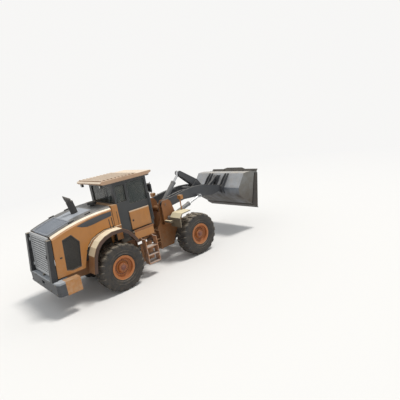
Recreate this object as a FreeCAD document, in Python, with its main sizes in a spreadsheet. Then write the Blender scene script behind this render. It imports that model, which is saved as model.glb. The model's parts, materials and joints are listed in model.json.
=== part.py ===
# Wheel loader with an articulated frame, a Z-bar linkage and a general purpose bucket.
# Row frame: X forward, Y to the machine's left, Z up from the ground, millimetres.
# Every piece is modelled about the articulation pin and then moved by pivot_x.
import FreeCAD, Part
import math
import os
import Sketcher

V = FreeCAD.Vector
doc = FreeCAD.newDocument("WheelLoader")

# Driving sizes in millimetres and degrees: name, value, meaning.
SIZES = (
    ("pivot_x", -780, "articulation pin, measured from the middle of the machine's length"),
    ("wheel_base", 3180, "front axle to rear axle"),
    ("tread", 2050, "left tyre centre to right tyre centre"),
    ("tyre_radius", 746.5, "over the lugs"),
    ("lug_height", 26, "tread lug above the carcass"),
    ("lug_length", 96, "tread lug along the tread"),
    ("tyre_width", 521, "section width at the bulge"),
    ("tread_width", 440, "crown of the tyre"),
    ("bead_radius", 320, "tyre bore on the rim"),
    ("flange_radius", 368, "outer radius of the rim flange"),
    ("rim_width", 432, "between the flanges"),
    ("flange_wall", 20, "thickness of a rim flange"),
    ("rim_wall", 16, "thickness of the rim barrel"),
    ("disc_recess", 127, "disc face behind the outer flange"),
    ("disc_wall", 30, "thickness of the rim disc"),
    ("hub_radius", 165, "planetary hub that shows in the rim"),
    ("hub_depth", 95, "how far the hub stands out of the disc"),
    ("fit_gap", 0.3, "running gap of pins and seats"),
    ("side_gap", 8, "clearance beside moving pieces"),
    ("axle_tube_radius", 130, "axle arm"),
    ("axle_end_radius", 190, "planetary housing behind the rim"),
    ("axle_bowl_radius", 235, "differential bowl"),
    ("axle_bowl_length", 420, "differential bowl along the axle"),
    ("shaft_radius", 45, "drive shafts to both axles"),
    ("axle_seat", 150, "front axle pads above the axle's centre line"),
    ("plate_wall", 40, "main frame plates"),
    ("rail_offset", 330, "rear frame rail, centre plane"),
    ("rail_bottom", 640, "underside of the rear rails"),
    ("rail_top", 1060, "top of the rear rails"),
    ("rear_length", 3430, "articulation pin to the rear grille face"),
    ("neck_x", -1050, "rear end of the narrow neck of the rear frame"),
    ("neck_offset", 200, "neck plate of the rear frame, centre plane"),
    ("hinge_reach", 400, "articulation pin to the end plates of both frames"),
    ("tower_inner", 380, "inner tower plate, centre plane"),
    ("tower_outer", 540, "outer tower plate, centre plane"),
    ("hinge_low", 560, "middle of the lower articulation ear"),
    ("hinge_high", 1060, "middle of the upper articulation ear"),
    ("ear_wall", 50, "articulation ear"),
    ("ear_gap", 20, "gap above and below an articulation ear"),
    ("ear_radius", 170, "round end of an articulation ear"),
    ("pin_radius", 55, "articulation pin"),
    ("boom_pin_x", 800, "boom pivot on the tower"),
    ("boom_pin_z", 2020, "boom pivot above the ground"),
    ("bucket_pin_x", 3720, "bucket pivot on the boom"),
    ("bucket_pin_z", 1920, "bucket pivot above the ground"),
    ("crank_pin_x", 2750, "bell crank pivot"),
    ("crank_pin_z", 2320, "bell crank pivot above the ground"),
    ("tilt_eye_x", 2050, "top eye of the bell crank"),
    ("tilt_eye_z", 2870, "top eye of the bell crank above the ground"),
    ("link_pin_x", 3180, "bell crank to bucket link"),
    ("link_pin_z", 1850, "bell crank to bucket link above the ground"),
    ("link_eye_x", 3959, "bucket link at the bucket"),
    ("link_eye_z", 2266, "bucket link at the bucket above the ground"),
    ("tilt_base_x", 1080, "tilt cylinder on the tower"),
    ("tilt_base_z", 1930, "tilt cylinder on the tower above the ground"),
    ("lift_base_x", 840, "lift cylinder on the tower"),
    ("lift_base_z", 1520, "lift cylinder on the tower above the ground"),
    ("lift_eye_x", 2350, "lift cylinder eye at the boom"),
    ("lift_eye_z", 1930, "lift cylinder eye above the ground"),
    ("lift_offset", 640, "lift cylinder beside the middle of the machine"),
    ("arm_offset", 460, "boom arm, centre plane"),
    ("arm_wall", 80, "boom arm"),
    ("tower_wall", 40, "tower plate"),
    ("boss_radius", 135, "boss around a boom pin"),
    ("bucket_boss", 85, "end of a boom arm around the bucket pin"),
    ("boom_pin_radius", 50, "boom and bucket pins"),
    ("crank_gap", 65, "half the space between the bell crank plates"),
    ("crank_wall", 40, "bell crank plate"),
    ("crank_boss", 115, "bell crank boss"),
    ("link_pin_radius", 40, "linkage pins"),
    ("link_wall", 100, "bucket link thickness"),
    ("lift_barrel_radius", 75, "lift cylinder barrel"),
    ("lift_rod_radius", 40, "lift cylinder rod"),
    ("lift_eye_radius", 70, "eyes of the lift cylinder"),
    ("tilt_barrel_radius", 88, "tilt cylinder barrel"),
    ("tilt_rod_radius", 45, "tilt cylinder rod"),
    ("tilt_eye_radius", 80, "eyes of the tilt cylinder"),
    ("tilt_gland", 0.70, "share of the pin distance that the tilt cylinder's barrel fills at rest"),
    ("lift_gland", 0.64, "share of the pin distance that a lift cylinder's barrel fills at rest"),
    ("steer_gland", 0.64, "share of the pin distance that a steering cylinder's barrel fills at rest"),
    ("tilt_stroke", 290, "how far the tilt rod can go in from rest"),
    ("lift_stroke", 310, "how far a lift rod can go in from rest"),
    ("steer_stroke", 280, "how far a steering rod can go in from rest"),
    ("steer_base_x", -960, "steering cylinder on the rear frame"),
    ("steer_base_y", 400, "steering cylinder beside the middle at its base"),
    ("steer_eye_x", 250, "steering cylinder on the front frame"),
    ("steer_eye_y", 400, "steering cylinder beside the middle at its eye"),
    ("steer_z", 810, "steering cylinders above the ground"),
    ("steer_barrel_radius", 48, "steering cylinder barrel"),
    ("steer_rod_radius", 25, "steering cylinder rod"),
    ("steer_eye_radius", 45, "eyes of the steering cylinder"),
    ("steer_pin_radius", 25, "pins of the steering cylinders"),
    ("bucket_width", 2740, "over the side cutters"),
    ("bucket_tilt", 36, "bucket floor, nose down from level"),
    ("bucket_wall", 20, "bucket shell"),
    ("side_wall", 30, "bucket side plate"),
    ("floor_length", 980, "bucket floor from the edge to the heel"),
    ("heel_x", 1354, "back of the bucket behind the edge"),
    ("heel_z", 264, "where the heel curve meets the back"),
    ("heel_bulge", 73, "rise of the heel curve above its chord"),
    ("back_bulge", 45, "rise of the upper back above its chord"),
    ("guard_wall", 16, "spill guard plate"),
    ("guard_height", 150, "spill guard above the bucket's lip"),
    ("guard_middle", 222, "raised middle of the spill guard above the lip"),
    ("guard_lean", 8, "how far the spill guard leans to the front of the level bucket"),
    ("edge_wall", 32, "bolt-on cutting edge"),
    ("bucket_ear", 32, "bucket ear plate"),
    ("back_x", 1325, "upper end of the back behind the edge"),
    ("back_z", 904, "upper end of the back above the floor"),
    ("lip_x", 605, "top lip behind the edge"),
    ("lip_z", 1290, "top lip above the floor"),
    ("pin_behind", 1450, "bucket pivot behind the edge"),
    ("pin_above", 240, "bucket pivot above the floor"),
    ("hood_half", 930, "half width of the hood sides"),
    ("hoop_gap", 30, "between the hoops and the hood's doors"),
    ("hood_bottom", 1080, "lower edge of the hood sides at the rear"),
    ("hood_rear_top", 2200, "shoulder of the hood at the rear"),
    ("hood_front_top", 2540, "shoulder of the hood at the front"),
    ("hood_front_x", -1430, "front end of the hood"),
    ("hood_crown", 85, "rise of the shoulder line above a straight line"),
    ("shoulder", 110, "slant between the hood's side and its top"),
    ("sheet_wall", 30, "doors, covers and fenders"),
    ("strip_width", 150, "hood side beside the rear grille, which the lamp strips fill"),
    ("grille_wall", 40, "rear grille"),
    ("rear_lean", 110, "how far the rear face leans forward at its top"),
    ("weight_low", 640, "underside of the counterweight"),
    ("weight_high", 1030, "top of the counterweight"),
    ("weight_side", 270, "how far the counterweight stands out beside the hood"),
    ("weight_reach", 140, "how far the counterweight stands out behind the grille"),
    ("hitch_radius", 25, "drawbar pin bore"),
    ("tank_front_x", -1200, "front of the hydraulic tank behind the cab"),
    ("stack_radius", 105, "exhaust pipe"),
    ("stack_lean", 12, "how far the exhaust leans to the rear"),
    ("tip_lean", 58, "how far the exhaust's tip leans to the rear"),
    ("engine_half", 300, "half width of the engine"),
    ("engine_top", 1720, "top of the engine above the ground"),
    ("cab_rear_x", -1180, "rear wall of the cab"),
    ("cab_front_x", 60, "front wall of the cab"),
    ("cab_half", 800, "half width of the cab"),
    ("deck_low", 1300, "underside of the cab platform"),
    ("cab_floor", 1560, "cab floor"),
    ("sill_z", 2460, "lower edge of the side windows"),
    ("cab_top", 3230, "top of the cab frame"),
    ("roof_rise", 170, "top of the roof's ribs above the cab frame"),
    ("roof_rib", 28, "height of the ribs on the cab roof"),
    ("post", 70, "cab pillars"),
    ("glass_wall", 12, "window panes"),
    ("door_rear_x", -700, "rear edge of the cab door"),
    ("door_front_x", -10, "front edge of the cab door"),
    ("door_wall", 36, "cab door"),
    ("fender_outer", 1285, "outer edge of the fenders beside the middle"),
    ("fender_gap", 15, "between the hood sides and the rear fenders"),
    ("guard_inner", 745, "inner edge of the front mudguards beside the middle"),
    ("rail_tube", 17, "handrail tube"),
    ("hinge_pin", 8, "pins of the door hinges"),
    ("knuckle", 14, "knuckles of the door hinges"),
    ("door_axis", 102, "hood door hinges above the straight line between the hood's ends"),
    ("door_gap", 6, "gap around doors"),
)

sheet = doc.addObject("Spreadsheet::Sheet", "Sizes")
for row, (alias, value, meaning) in enumerate(SIZES, start=1):
    sheet.set("A%d" % row, alias)
    sheet.set("B%d" % row, str(value))
    sheet.set("C%d" % row, meaning)
    sheet.setAlias("B%d" % row, alias)
doc.recompute()


class Size:
    """A length or angle: its value now, and the sheet formula that gives it."""

    def __init__(self, value, text=None):
        self.value = float(value)
        self.text = repr(float(value)) if text is None else text

    def joined(self, other, sign, value):
        return Size(value, "(%s %s %s)" % (self.text, sign, other.text))

    def __add__(self, other):
        other = as_size(other)
        return self.joined(other, "+", self.value + other.value)

    def __sub__(self, other):
        other = as_size(other)
        return self.joined(other, "-", self.value - other.value)

    def __mul__(self, other):
        other = as_size(other)
        return self.joined(other, "*", self.value * other.value)

    def __truediv__(self, other):
        other = as_size(other)
        return self.joined(other, "/", self.value / other.value)

    def __radd__(self, other):
        return as_size(other) + self

    def __rsub__(self, other):
        return as_size(other) - self

    def __rmul__(self, other):
        return as_size(other) * self

    def __neg__(self):
        return Size(-self.value, "(-1 * %s)" % self.text)


def as_size(item):
    return item if isinstance(item, Size) else Size(item)


class Sheet:
    """The named sizes of the spreadsheet."""

    def __getattr__(self, alias):
        return Size(sheet.get(alias), "Sizes." + alias)


S = Sheet()


def distance(across, up):
    """Length of a line from its run and its rise."""
    return Size(math.hypot(across.value, up.value), "sqrt(%s^2 + %s^2)" % (across.text, up.text))


def heading(across, up):
    """Angle of a line above the horizontal, in degrees."""
    return Size(math.degrees(math.atan2(up.value, across.value)), "atan2(%s; %s)" % (up.text, across.text))


def cosine(angle):
    return Size(math.cos(math.radians(angle.value)), "cos(%s)" % angle.text)


def sine(angle):
    return Size(math.sin(math.radians(angle.value)), "sin(%s)" % angle.text)


def bind(item, name, size):
    """Set a property path of an object to a size."""
    size = as_size(size)
    if "Sizes." in size.text:
        item.setExpression(name, size.text)


NOSE_UP = V(0, -1, 0)
NOSE_LEFT = V(0, 0, 1)


def place(item, x=0, y=0, z=0, turn=None, about=NOSE_UP, rotation=None):
    """Put an object at a point, turned by some degrees about an axis or by a fixed rotation."""
    x, y, z = as_size(x), as_size(y), as_size(z)
    rotation = rotation or FreeCAD.Rotation()
    if turn is not None:
        rotation = FreeCAD.Rotation(about, as_size(turn).value)
    item.Placement = FreeCAD.Placement(V(x.value, y.value, z.value), rotation)
    for name, size in (("x", x), ("y", y), ("z", z)):
        bind(item, "Placement.Base." + name, size)
    if turn is not None:
        bind(item, "Placement.Rotation.Angle", turn)
    return item


AXIS_TURN = {
    "X": FreeCAD.Rotation(V(0, 1, 0), 90),
    "Y": FreeCAD.Rotation(V(1, 0, 0), -90),
    "Z": FreeCAD.Rotation(),
}


def box(name, x_span, y_span, z_span):
    """Block between two corners, given as a pair of limits on each axis."""
    item = doc.addObject("Part::Box", name)
    spans = [[as_size(end) for end in span] for span in (x_span, y_span, z_span)]
    for key, (low, high) in zip(("Length", "Width", "Height"), spans):
        setattr(item, key, high.value - low.value)
        bind(item, key, high - low)
    return place(item, *[span[0] for span in spans])


def bar(name, axis, radius, centre, start, end):
    """Round bar along an axis; centre holds its two other coordinates in X, Y, Z order."""
    item = doc.addObject("Part::Cylinder", name)
    radius, start, end = as_size(radius), as_size(start), as_size(end)
    item.Radius = radius.value
    item.Height = end.value - start.value
    bind(item, "Radius", radius)
    bind(item, "Height", end - start)
    spot = list(centre)
    spot.insert("XYZ".index(axis), start)
    return place(item, *spot, rotation=AXIS_TURN[axis])


def fuse(name, pieces):
    item = doc.addObject("Part::MultiFuse", name)
    item.Shapes = list(pieces)
    item.Refine = True
    return item


def cut(name, base, tools):
    item = doc.addObject("Part::Cut", name)
    item.Base = base
    item.Tool = tools[0] if len(tools) == 1 else fuse(name + "_tools", tools)
    return item


def mirrored(piece):
    """The same piece on the other side of the machine."""
    item = doc.addObject("Part::Mirroring", piece.Name + "_other")
    item.Source = piece
    item.Normal = V(0, 1, 0)
    return item


def both(*pieces):
    """Pieces with their copies on the other side."""
    return list(pieces) + [mirrored(piece) for piece in pieces]


def new_sketch(body, plane, name, offset=0):
    """Sketch on one of the body's origin planes, moved along the plane's normal."""
    sketch = body.newObject("Sketcher::SketchObject", name)
    origin = [feature for feature in body.Origin.OriginFeatures if feature.Role == plane + "_Plane"]
    sketch.AttachmentSupport = [(origin[0], "")]
    sketch.MapMode = "FlatFace"
    offset = as_size(offset)
    sketch.AttachmentOffset = FreeCAD.Placement(V(0, 0, offset.value), FreeCAD.Rotation())
    bind(sketch, "AttachmentOffset.Base.z", offset)
    return sketch


def constrain(sketch, rules):
    """Add (kind, geometry, position, size) rules and tie each to the sheet."""
    for kind, geometry, position, size in rules:
        if position is None:
            rule = Sketcher.Constraint(kind, geometry, size.value)
        else:
            rule = Sketcher.Constraint(kind, geometry, position, size.value)
        index = sketch.addConstraint(rule)
        bind(sketch, "Constraints[%d]" % index, size)


def draw_outline(sketch, outline):
    """Closed outline; a corner (a, b) starts a line, (a, b, c, d) starts an arc through (c, d)."""
    corners = [[as_size(item) for item in corner] for corner in outline]
    ends, rules = [], []
    for corner, following in zip(corners, corners[1:] + corners[:1]):
        start = V(corner[0].value, corner[1].value, 0)
        end = V(following[0].value, following[1].value, 0)
        if len(corner) == 4:
            through = V(corner[2].value, corner[3].value, 0)
            left_turn = (through - start).cross(end - start).z > 0
            curve = Part.Arc(start, through, end) if left_turn else Part.Arc(end, through, start)
            geometry = sketch.addGeometry(curve, False)
            ends.append((geometry, 1, 2) if left_turn else (geometry, 2, 1))
            mark = sketch.addGeometry(Part.Point(through), True)
            sketch.addConstraint(Sketcher.Constraint("PointOnObject", mark, 1, geometry))
            rules += [("DistanceX", mark, 1, corner[2]), ("DistanceY", mark, 1, corner[3])]
        else:
            geometry = sketch.addGeometry(Part.LineSegment(start, end), False)
            ends.append((geometry, 1, 2))
        rules += [("DistanceX", geometry, ends[-1][1], corner[0]),
                  ("DistanceY", geometry, ends[-1][1], corner[1])]
    for this, following in zip(ends, ends[1:] + ends[:1]):
        sketch.addConstraint(Sketcher.Constraint("Coincident", this[0], this[2], following[0], following[1]))
    constrain(sketch, rules)


def draw_hole(sketch, across, up, radius):
    across, up, radius = as_size(across), as_size(up), as_size(radius)
    geometry = sketch.addGeometry(Part.Circle(V(across.value, up.value, 0), V(0, 0, 1), radius.value), False)
    constrain(sketch, (("DistanceX", geometry, 3, across), ("DistanceY", geometry, 3, up),
                       ("Radius", geometry, None, radius)))


def padded(name, plane, outline, low, high, holes=(), windows=()):
    """Body padded from an outline on a plane, between two places on the axis across it."""
    low, high = as_size(low), as_size(high)
    body = doc.addObject("PartDesign::Body", name)
    # The XZ plane looks along -Y, so its pad starts at the high end.
    sketch = new_sketch(body, plane, name + "_outline", -high if plane == "XZ" else low)
    if outline:
        draw_outline(sketch, outline)
    for window in windows:
        draw_outline(sketch, window)
    for across, up, radius in holes:
        draw_hole(sketch, across, up, radius)
    pad = body.newObject("PartDesign::Pad", name + "_pad")
    pad.Profile = sketch
    pad.Length = high.value - low.value
    bind(pad, "Length", high - low)
    return body


def ruled(name, near_outline, near, far_outline, far):
    """Solid ruled between two side-view outlines at two places on Y."""
    sections = []
    for outline, y in ((near_outline, near), (far_outline, far)):
        sketch = doc.addObject("Sketcher::SketchObject", name + "_section")
        y = as_size(y)
        sketch.Placement = FreeCAD.Placement(V(0, y.value, 0), FreeCAD.Rotation(V(1, 0, 0), 90))
        bind(sketch, "Placement.Base.y", y)
        draw_outline(sketch, outline)
        sections.append(sketch)
    item = doc.addObject("Part::Loft", name)
    item.Sections = sections
    item.Solid = True
    item.Ruled = True
    return item


def disc(name, plane, across, up, radius, low, high, bore=None):
    """Round plate, with a bore if one is given."""
    holes = [(across, up, radius)] + ([(across, up, bore)] if bore is not None else [])
    return padded(name, plane, (), low, high, holes)


def turned(name, outline, axis):
    """Body turned about the X or Y axis; each corner is a place on the axis and a radius."""
    body = doc.addObject("PartDesign::Body", name)
    sketch = new_sketch(body, "XY", name + "_outline")
    if axis == "Y":
        outline = [[corner[1], corner[0]] + ([corner[3], corner[2]] if len(corner) == 4 else [])
                   for corner in outline]
    draw_outline(sketch, outline)
    turn = body.newObject("PartDesign::Revolution", name + "_turn")
    turn.Profile = sketch
    turn.ReferenceAxis = (sketch, ["V_Axis" if axis == "Y" else "H_Axis"])
    turn.Angle = 360
    return body


weight_half = S.hood_half + S.weight_side
weight_rear_x = -S.rear_length - S.weight_reach
grille_half = S.hood_half - S.strip_width
fender_inner = S.hood_half + S.fender_gap
roof_top = S.cab_top + S.roof_rise
window_top = S.cab_top - S.post
rear_sill = window_top - 560
parts = []


def sub_part(label, pieces, x=0, y=0, z=0, turn=None, about=NOSE_UP):
    """Name a piece of the machine and move it from its own frame to its place in the row."""
    if not isinstance(pieces, (list, tuple)):
        pieces = [pieces]
    plain = len(pieces) == 1 and pieces[0].Placement.isIdentity()
    if plain:
        item = pieces[0]
    else:
        item = doc.addObject("Part::Compound", "whole_" + label)
        item.Links = pieces
    place(item, S.pivot_x + x, y, z, turn, about)
    item.Label = label
    parts.append(item)
    return item


# Wheels: each is modelled about its own centre with the outside facing +Y.
rim_inner = S.bead_radius - S.rim_wall
rim_outer = S.bead_radius - S.fit_gap
bead_half = S.rim_width / 2
flange_in = bead_half + S.fit_gap
flange_out = flange_in + S.flange_wall
disc_face = flange_out - S.disc_recess
disc_back = disc_face - S.disc_wall


TYRE_FLATS = 40
flat_turn = 360 / TYRE_FLATS
carcass_radius = S.tyre_radius - S.lug_height


def turned_copy(name, piece, turn):
    """The same piece turned about the Y axis."""
    item = doc.addObject("Part::Compound", name)
    item.Links = [piece]
    return place(item, turn=turn, about=V(0, 1, 0))


def tyre(name):
    """Flat-sided tyre from equal sectors, with a block lug on each in turn by its outer and inner half."""
    side = (
        # place beside the middle, radius
        (bead_half, S.bead_radius),
        (bead_half, S.flange_radius + 10),
        (S.tyre_width / 2, S.tyre_radius * 0.74),
        (S.tread_width / 2, carcass_radius),
    )
    section = [(-across, radius) for across, radius in side[::-1]] + list(side)
    reach = S.tyre_radius + 20
    half_reach = reach * (sine(as_size(flat_turn / 2)) / cosine(as_size(flat_turn / 2)))
    flat = doc.addObject("Part::MultiCommon", name + "_flat")
    flat.Shapes = [padded(name + "_slab", "YZ", section, -half_reach, half_reach),
                   padded(name + "_sector", "XZ", ((0, 0), (half_reach, reach), (-half_reach, reach)),
                          -S.tyre_width, S.tyre_width)]
    lug_outline = (
        (12, carcass_radius - 30),
        (12, S.tyre_radius),
        (S.tread_width / 2 + 2, S.tyre_radius),
        (S.tyre_width / 2 - 20, S.tyre_radius - 126),
    )
    lug = padded(name + "_lug", "YZ", lug_outline, -S.lug_length / 2, S.lug_length / 2)
    outer = fuse(name + "_outer", [flat, lug])
    inner = fuse(name + "_inner", [flat, mirrored(lug)])
    sectors = []
    for number in range(TYRE_FLATS // 2):
        sectors.append(turned_copy(name + "_sector", outer, 180 + flat_turn * 2 * number))
        sectors.append(turned_copy(name + "_sector", inner, 180 + flat_turn * (2 * number + 1)))
    return fuse(name, sectors)


def rim(name):
    """Flanged barrel with a dished disc and the planetary hub that shows in it."""
    outline = (
        (-flange_out, rim_inner),
        (-flange_out, S.flange_radius),
        (-flange_in, S.flange_radius),
        (-flange_in, rim_outer),
        (flange_in, rim_outer),
        (flange_in, S.flange_radius),
        (flange_out, S.flange_radius),
        (flange_out, rim_inner),
        (disc_face + 40, rim_inner),
        (disc_face, rim_inner - 50),
        (disc_face, S.hub_radius),
        (disc_face + S.hub_depth, S.hub_radius * 0.82),
        (disc_face + S.hub_depth, 0),
        (disc_back, 0),
        (disc_back, rim_inner),
    )
    return turned(name, outline, "Y")


AXLES = (
    # axle, side of the pivot
    ("rear", -1),
    ("front", 1),
)
wheel_pieces = (("tyre", tyre("tyre_body")), ("rim", rim("rim_body")))
for end, way in AXLES:
    for side, hand in (("left", 1), ("right", -1)):
        for piece, made in wheel_pieces:
            whole = turned_copy("whole_" + piece, made, 0) if hand > 0 else mirrored(made)
            sub_part("%s_%s_%s" % (piece, end, side), whole, x=S.wheel_base * (way / 2),
                     y=S.tread * (hand / 2), z=S.tyre_radius)

# Axles: a turned housing between the two rim discs, with the drive nose towards the middle.
axle_end = S.tread / 2 + disc_back - S.fit_gap
for end, way in AXLES:
    half = (
        (S.axle_bowl_length / 2 - 90, S.axle_bowl_radius),
        (S.axle_bowl_length / 2 + 60, S.axle_tube_radius),
        (axle_end - 330, S.axle_tube_radius - 20),
        (axle_end - 210, S.axle_end_radius),
        (axle_end, S.axle_end_radius),
        (axle_end, 0),
    )
    outline = [(-across, radius) for across, radius in half[::-1]] + list(half)
    housing = turned(end + "_axle_housing", outline, "Y")
    nose_end = S.axle_bowl_radius + 130
    limits = (0, nose_end) if way < 0 else (-nose_end, 0)
    pieces = [housing, bar(end + "_axle_nose", "X", 115, (0, 0), *limits)]
    if way < 0:
        pieces.append(bar("rear_axle_trunnion", "X", 90, (0, 0), -(S.axle_bowl_radius + 130), 0))
        pieces.append(bar("rear_drive_shaft", "X", S.shaft_radius, (0, 0), 0, S.wheel_base / 2 - 80))
    else:
        pieces.append(bar("front_drive_shaft", "X", S.shaft_radius, (0, 0), -S.wheel_base / 2, 0))
        for y in (-S.tower_inner, S.tower_inner):
            pieces.append(box("front_axle_pad", (-140, 140), (y - 70, y + 70), (0, S.axle_seat)))
    sub_part(end + "_axle", fuse(end + "_axle_whole", pieces), x=S.wheel_base * (way / 2), z=S.tyre_radius)

# Rear frame: rails, neck and the forked articulation ears with their pins.
ear_half = S.ear_wall / 2
axle_x = S.wheel_base / 2
rear_ears = []
front_ears = []
for level, hinge_z in (("low", S.hinge_low), ("high", S.hinge_high)):
    ear_shape = ((-S.hinge_reach, -250), (0, -S.ear_radius, S.ear_radius, 0), (0, S.ear_radius),
                 (-S.hinge_reach, 250))
    for spot, low in (("under", hinge_z - ear_half - S.ear_gap - S.ear_wall),
                      ("over", hinge_z + ear_half + S.ear_gap)):
        rear_ears.append(padded("rear_ear_%s_%s" % (level, spot), "XY", ear_shape, low, low + S.ear_wall))
    fork_half = ear_half + S.ear_gap + S.ear_wall
    rear_ears.append(bar("hinge_pin_" + level, "Z", S.pin_radius, (0, 0),
                         hinge_z - fork_half - 12, hinge_z + fork_half + 12))
    front_shape = ((S.hinge_reach, -280), (S.hinge_reach, 280), (0, S.ear_radius, -S.ear_radius, 0),
                   (0, -S.ear_radius))
    front_ears.append(padded("front_ear_" + level, "XY", front_shape, hinge_z - ear_half,
                             hinge_z + ear_half, holes=((0, 0, S.pin_radius + S.fit_gap),)))

fork_reach = ear_half + S.ear_gap + S.ear_wall
frame_low = S.hinge_low - fork_reach
frame_high = S.hinge_high + fork_reach
half_plate = S.plate_wall / 2
rail_outline = (
    (-S.rear_length + 260, S.rail_bottom + 60),
    (-axle_x - 420, S.rail_bottom),
    (-axle_x - 330, S.rail_bottom + 250),
    (-axle_x + 330, S.rail_bottom + 250),
    (-axle_x + 420, S.rail_bottom),
    (S.neck_x, S.rail_bottom),
    (S.neck_x, S.rail_top),
    (-S.rear_length + 260, S.rail_top),
)
rail = padded("rear_rail", "XZ", rail_outline, S.rail_offset - half_plate, S.rail_offset + half_plate)
neck = box("rear_neck", (S.neck_x, -S.hinge_reach), (S.neck_offset - half_plate, S.neck_offset + half_plate),
           (frame_low, frame_high))
hangers = [
    disc("axle_hanger_front", "YZ", 0, S.tyre_radius, 190, -axle_x + S.axle_bowl_radius + 40,
         -axle_x + S.axle_bowl_radius + 100, bore=115 + S.fit_gap),
    disc("axle_hanger_rear", "YZ", 0, S.tyre_radius, 170, -axle_x - S.axle_bowl_radius - 100,
         -axle_x - S.axle_bowl_radius - 40, bore=90 + S.fit_gap),
]
hanger_webs = []
for way in (-1, 1):
    near = -axle_x + (S.axle_bowl_radius + 40) * way
    far = -axle_x + (S.axle_bowl_radius + 100) * way
    span = (near, far) if way > 0 else (far, near)
    web = box("axle_hanger_web", span, (-S.rail_offset, S.rail_offset), (S.tyre_radius + 120, S.rail_top - 40))
    hanger_webs.append(web)
steer_fork_low = S.steer_z - S.steer_eye_radius * 0.8 - S.side_gap
steer_fork_high = S.steer_z + S.steer_eye_radius * 0.8 + S.side_gap
steer_lugs = []
for low, high in ((steer_fork_low - 20, steer_fork_low), (steer_fork_high, steer_fork_high + 20)):
    steer_lugs.append(box("steer_lug_rear", (S.neck_x, S.steer_base_x + 50),
                          (S.steer_base_y - 55, S.steer_base_y + 55), (low, high)))
steer_pin = bar("steer_pin_rear", "Z", S.steer_pin_radius, (S.steer_base_x, S.steer_base_y), steer_fork_low - 20,
                steer_fork_high + 20)
cross_plates = [
    box("neck_bulkhead", (S.neck_x - S.plate_wall, S.neck_x), (-470, 470), (S.rail_bottom, S.rail_top)),
    box("hinge_bulkhead", (-S.hinge_reach - S.plate_wall, -S.hinge_reach), (-250, 250), (frame_low, frame_high)),
    box("rear_cross", (-S.rear_length + 260, -S.rear_length + 420), (-S.rail_offset, S.rail_offset),
        (S.rail_bottom + 60, S.rail_top - 60)),
    box("engine_cross", (-axle_x - 900, -axle_x - 780), (-S.rail_offset, S.rail_offset),
        (S.rail_bottom + 60, S.rail_top - 200)),
]
shaft_passage = bar("rear_shaft_passage", "X", S.shaft_radius + 40, (0, S.tyre_radius), -axle_x + 200, 100)
rear_pieces = both(rail, neck, *steer_lugs, steer_pin) + cross_plates + hangers + hanger_webs + rear_ears
sub_part("rear_frame", cut("rear_frame_whole", fuse("rear_frame_joined", rear_pieces), [shaft_passage]))

# Front frame: articulation ears, tower plates either side of each boom arm, and the axle rails.
hinge_wall = box("front_bulkhead", (S.hinge_reach, S.hinge_reach + S.plate_wall), (-470, 470),
                 (frame_low, frame_high))
inner_outline = (
    (S.hinge_reach, frame_low),
    (S.boom_pin_x + 200, frame_low),
    (S.boom_pin_x + 380, S.tyre_radius + S.axle_seat),
    (axle_x + 490, S.tyre_radius + S.axle_seat),
    (axle_x + 530, S.tyre_radius + 350),
    (axle_x - 30, S.lift_base_z - 280),
    (S.lift_base_x + 390, S.lift_base_z + 40),
    (S.boom_pin_x + 260, S.boom_pin_z + 40),
    (S.boom_pin_x + 160, S.boom_pin_z + 150),
    (S.boom_pin_x - 80, S.boom_pin_z + 150),
    (S.boom_pin_x - 180, S.boom_pin_z),
    (S.boom_pin_x - 200, S.lift_base_z),
    (S.hinge_reach, frame_high),
)
outer_outline = (
    (S.boom_pin_x - 160, S.lift_base_z - 220),
    (S.boom_pin_x + 320, S.lift_base_z - 220),
    (S.lift_base_x + 350, S.lift_base_z + 40),
    (S.boom_pin_x + 250, S.boom_pin_z + 60),
    (S.boom_pin_x + 160, S.boom_pin_z + 140),
    (S.boom_pin_x - 80, S.boom_pin_z + 140),
    (S.boom_pin_x - 160, S.boom_pin_z),
)
half_tower = S.tower_wall / 2
tower = []
for name, outline, offset in (("inner", inner_outline, S.tower_inner), ("outer", outer_outline, S.tower_outer)):
    tower.append(padded("tower_plate_" + name, "XZ", outline, offset - half_tower, offset + half_tower))
tower.append(box("tower_shelf", (S.boom_pin_x - 160, S.boom_pin_x + 320),
                 (S.tower_inner, S.tower_outer), (S.lift_base_z - 220, S.lift_base_z - 180)))
tower.append(bar("boom_pin", "Y", S.boom_pin_radius, (S.boom_pin_x, S.boom_pin_z),
                 S.tower_inner - half_tower - 15, S.tower_outer + half_tower + 15))
tower.append(bar("lift_base_pin", "Y", S.link_pin_radius, (S.lift_base_x, S.lift_base_z),
                 S.tower_outer, S.lift_offset + S.lift_barrel_radius))
front_steer_lugs = []
for low, high in ((steer_fork_low - 20, steer_fork_low), (steer_fork_high, steer_fork_high + 20)):
    front_steer_lugs.append(box("steer_lug_front", (S.steer_eye_x - 50, S.hinge_reach),
                                (S.steer_eye_y - 60, S.steer_eye_y + 60), (low, high)))
tilt_carrier_x = S.tilt_base_x - 130
tilt_carrier_z = S.tilt_base_z - 170
tilt_lug_outline = (
    (tilt_carrier_x - 90, tilt_carrier_z + 40),
    (tilt_carrier_x + 60, tilt_carrier_z - 80),
    (S.tilt_base_x + 80, S.tilt_base_z - 40),
    (S.tilt_base_x + 60, S.tilt_base_z + 70),
    (S.tilt_base_x - 60, S.tilt_base_z + 80),
)
tilt_fork = S.crank_gap
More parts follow.
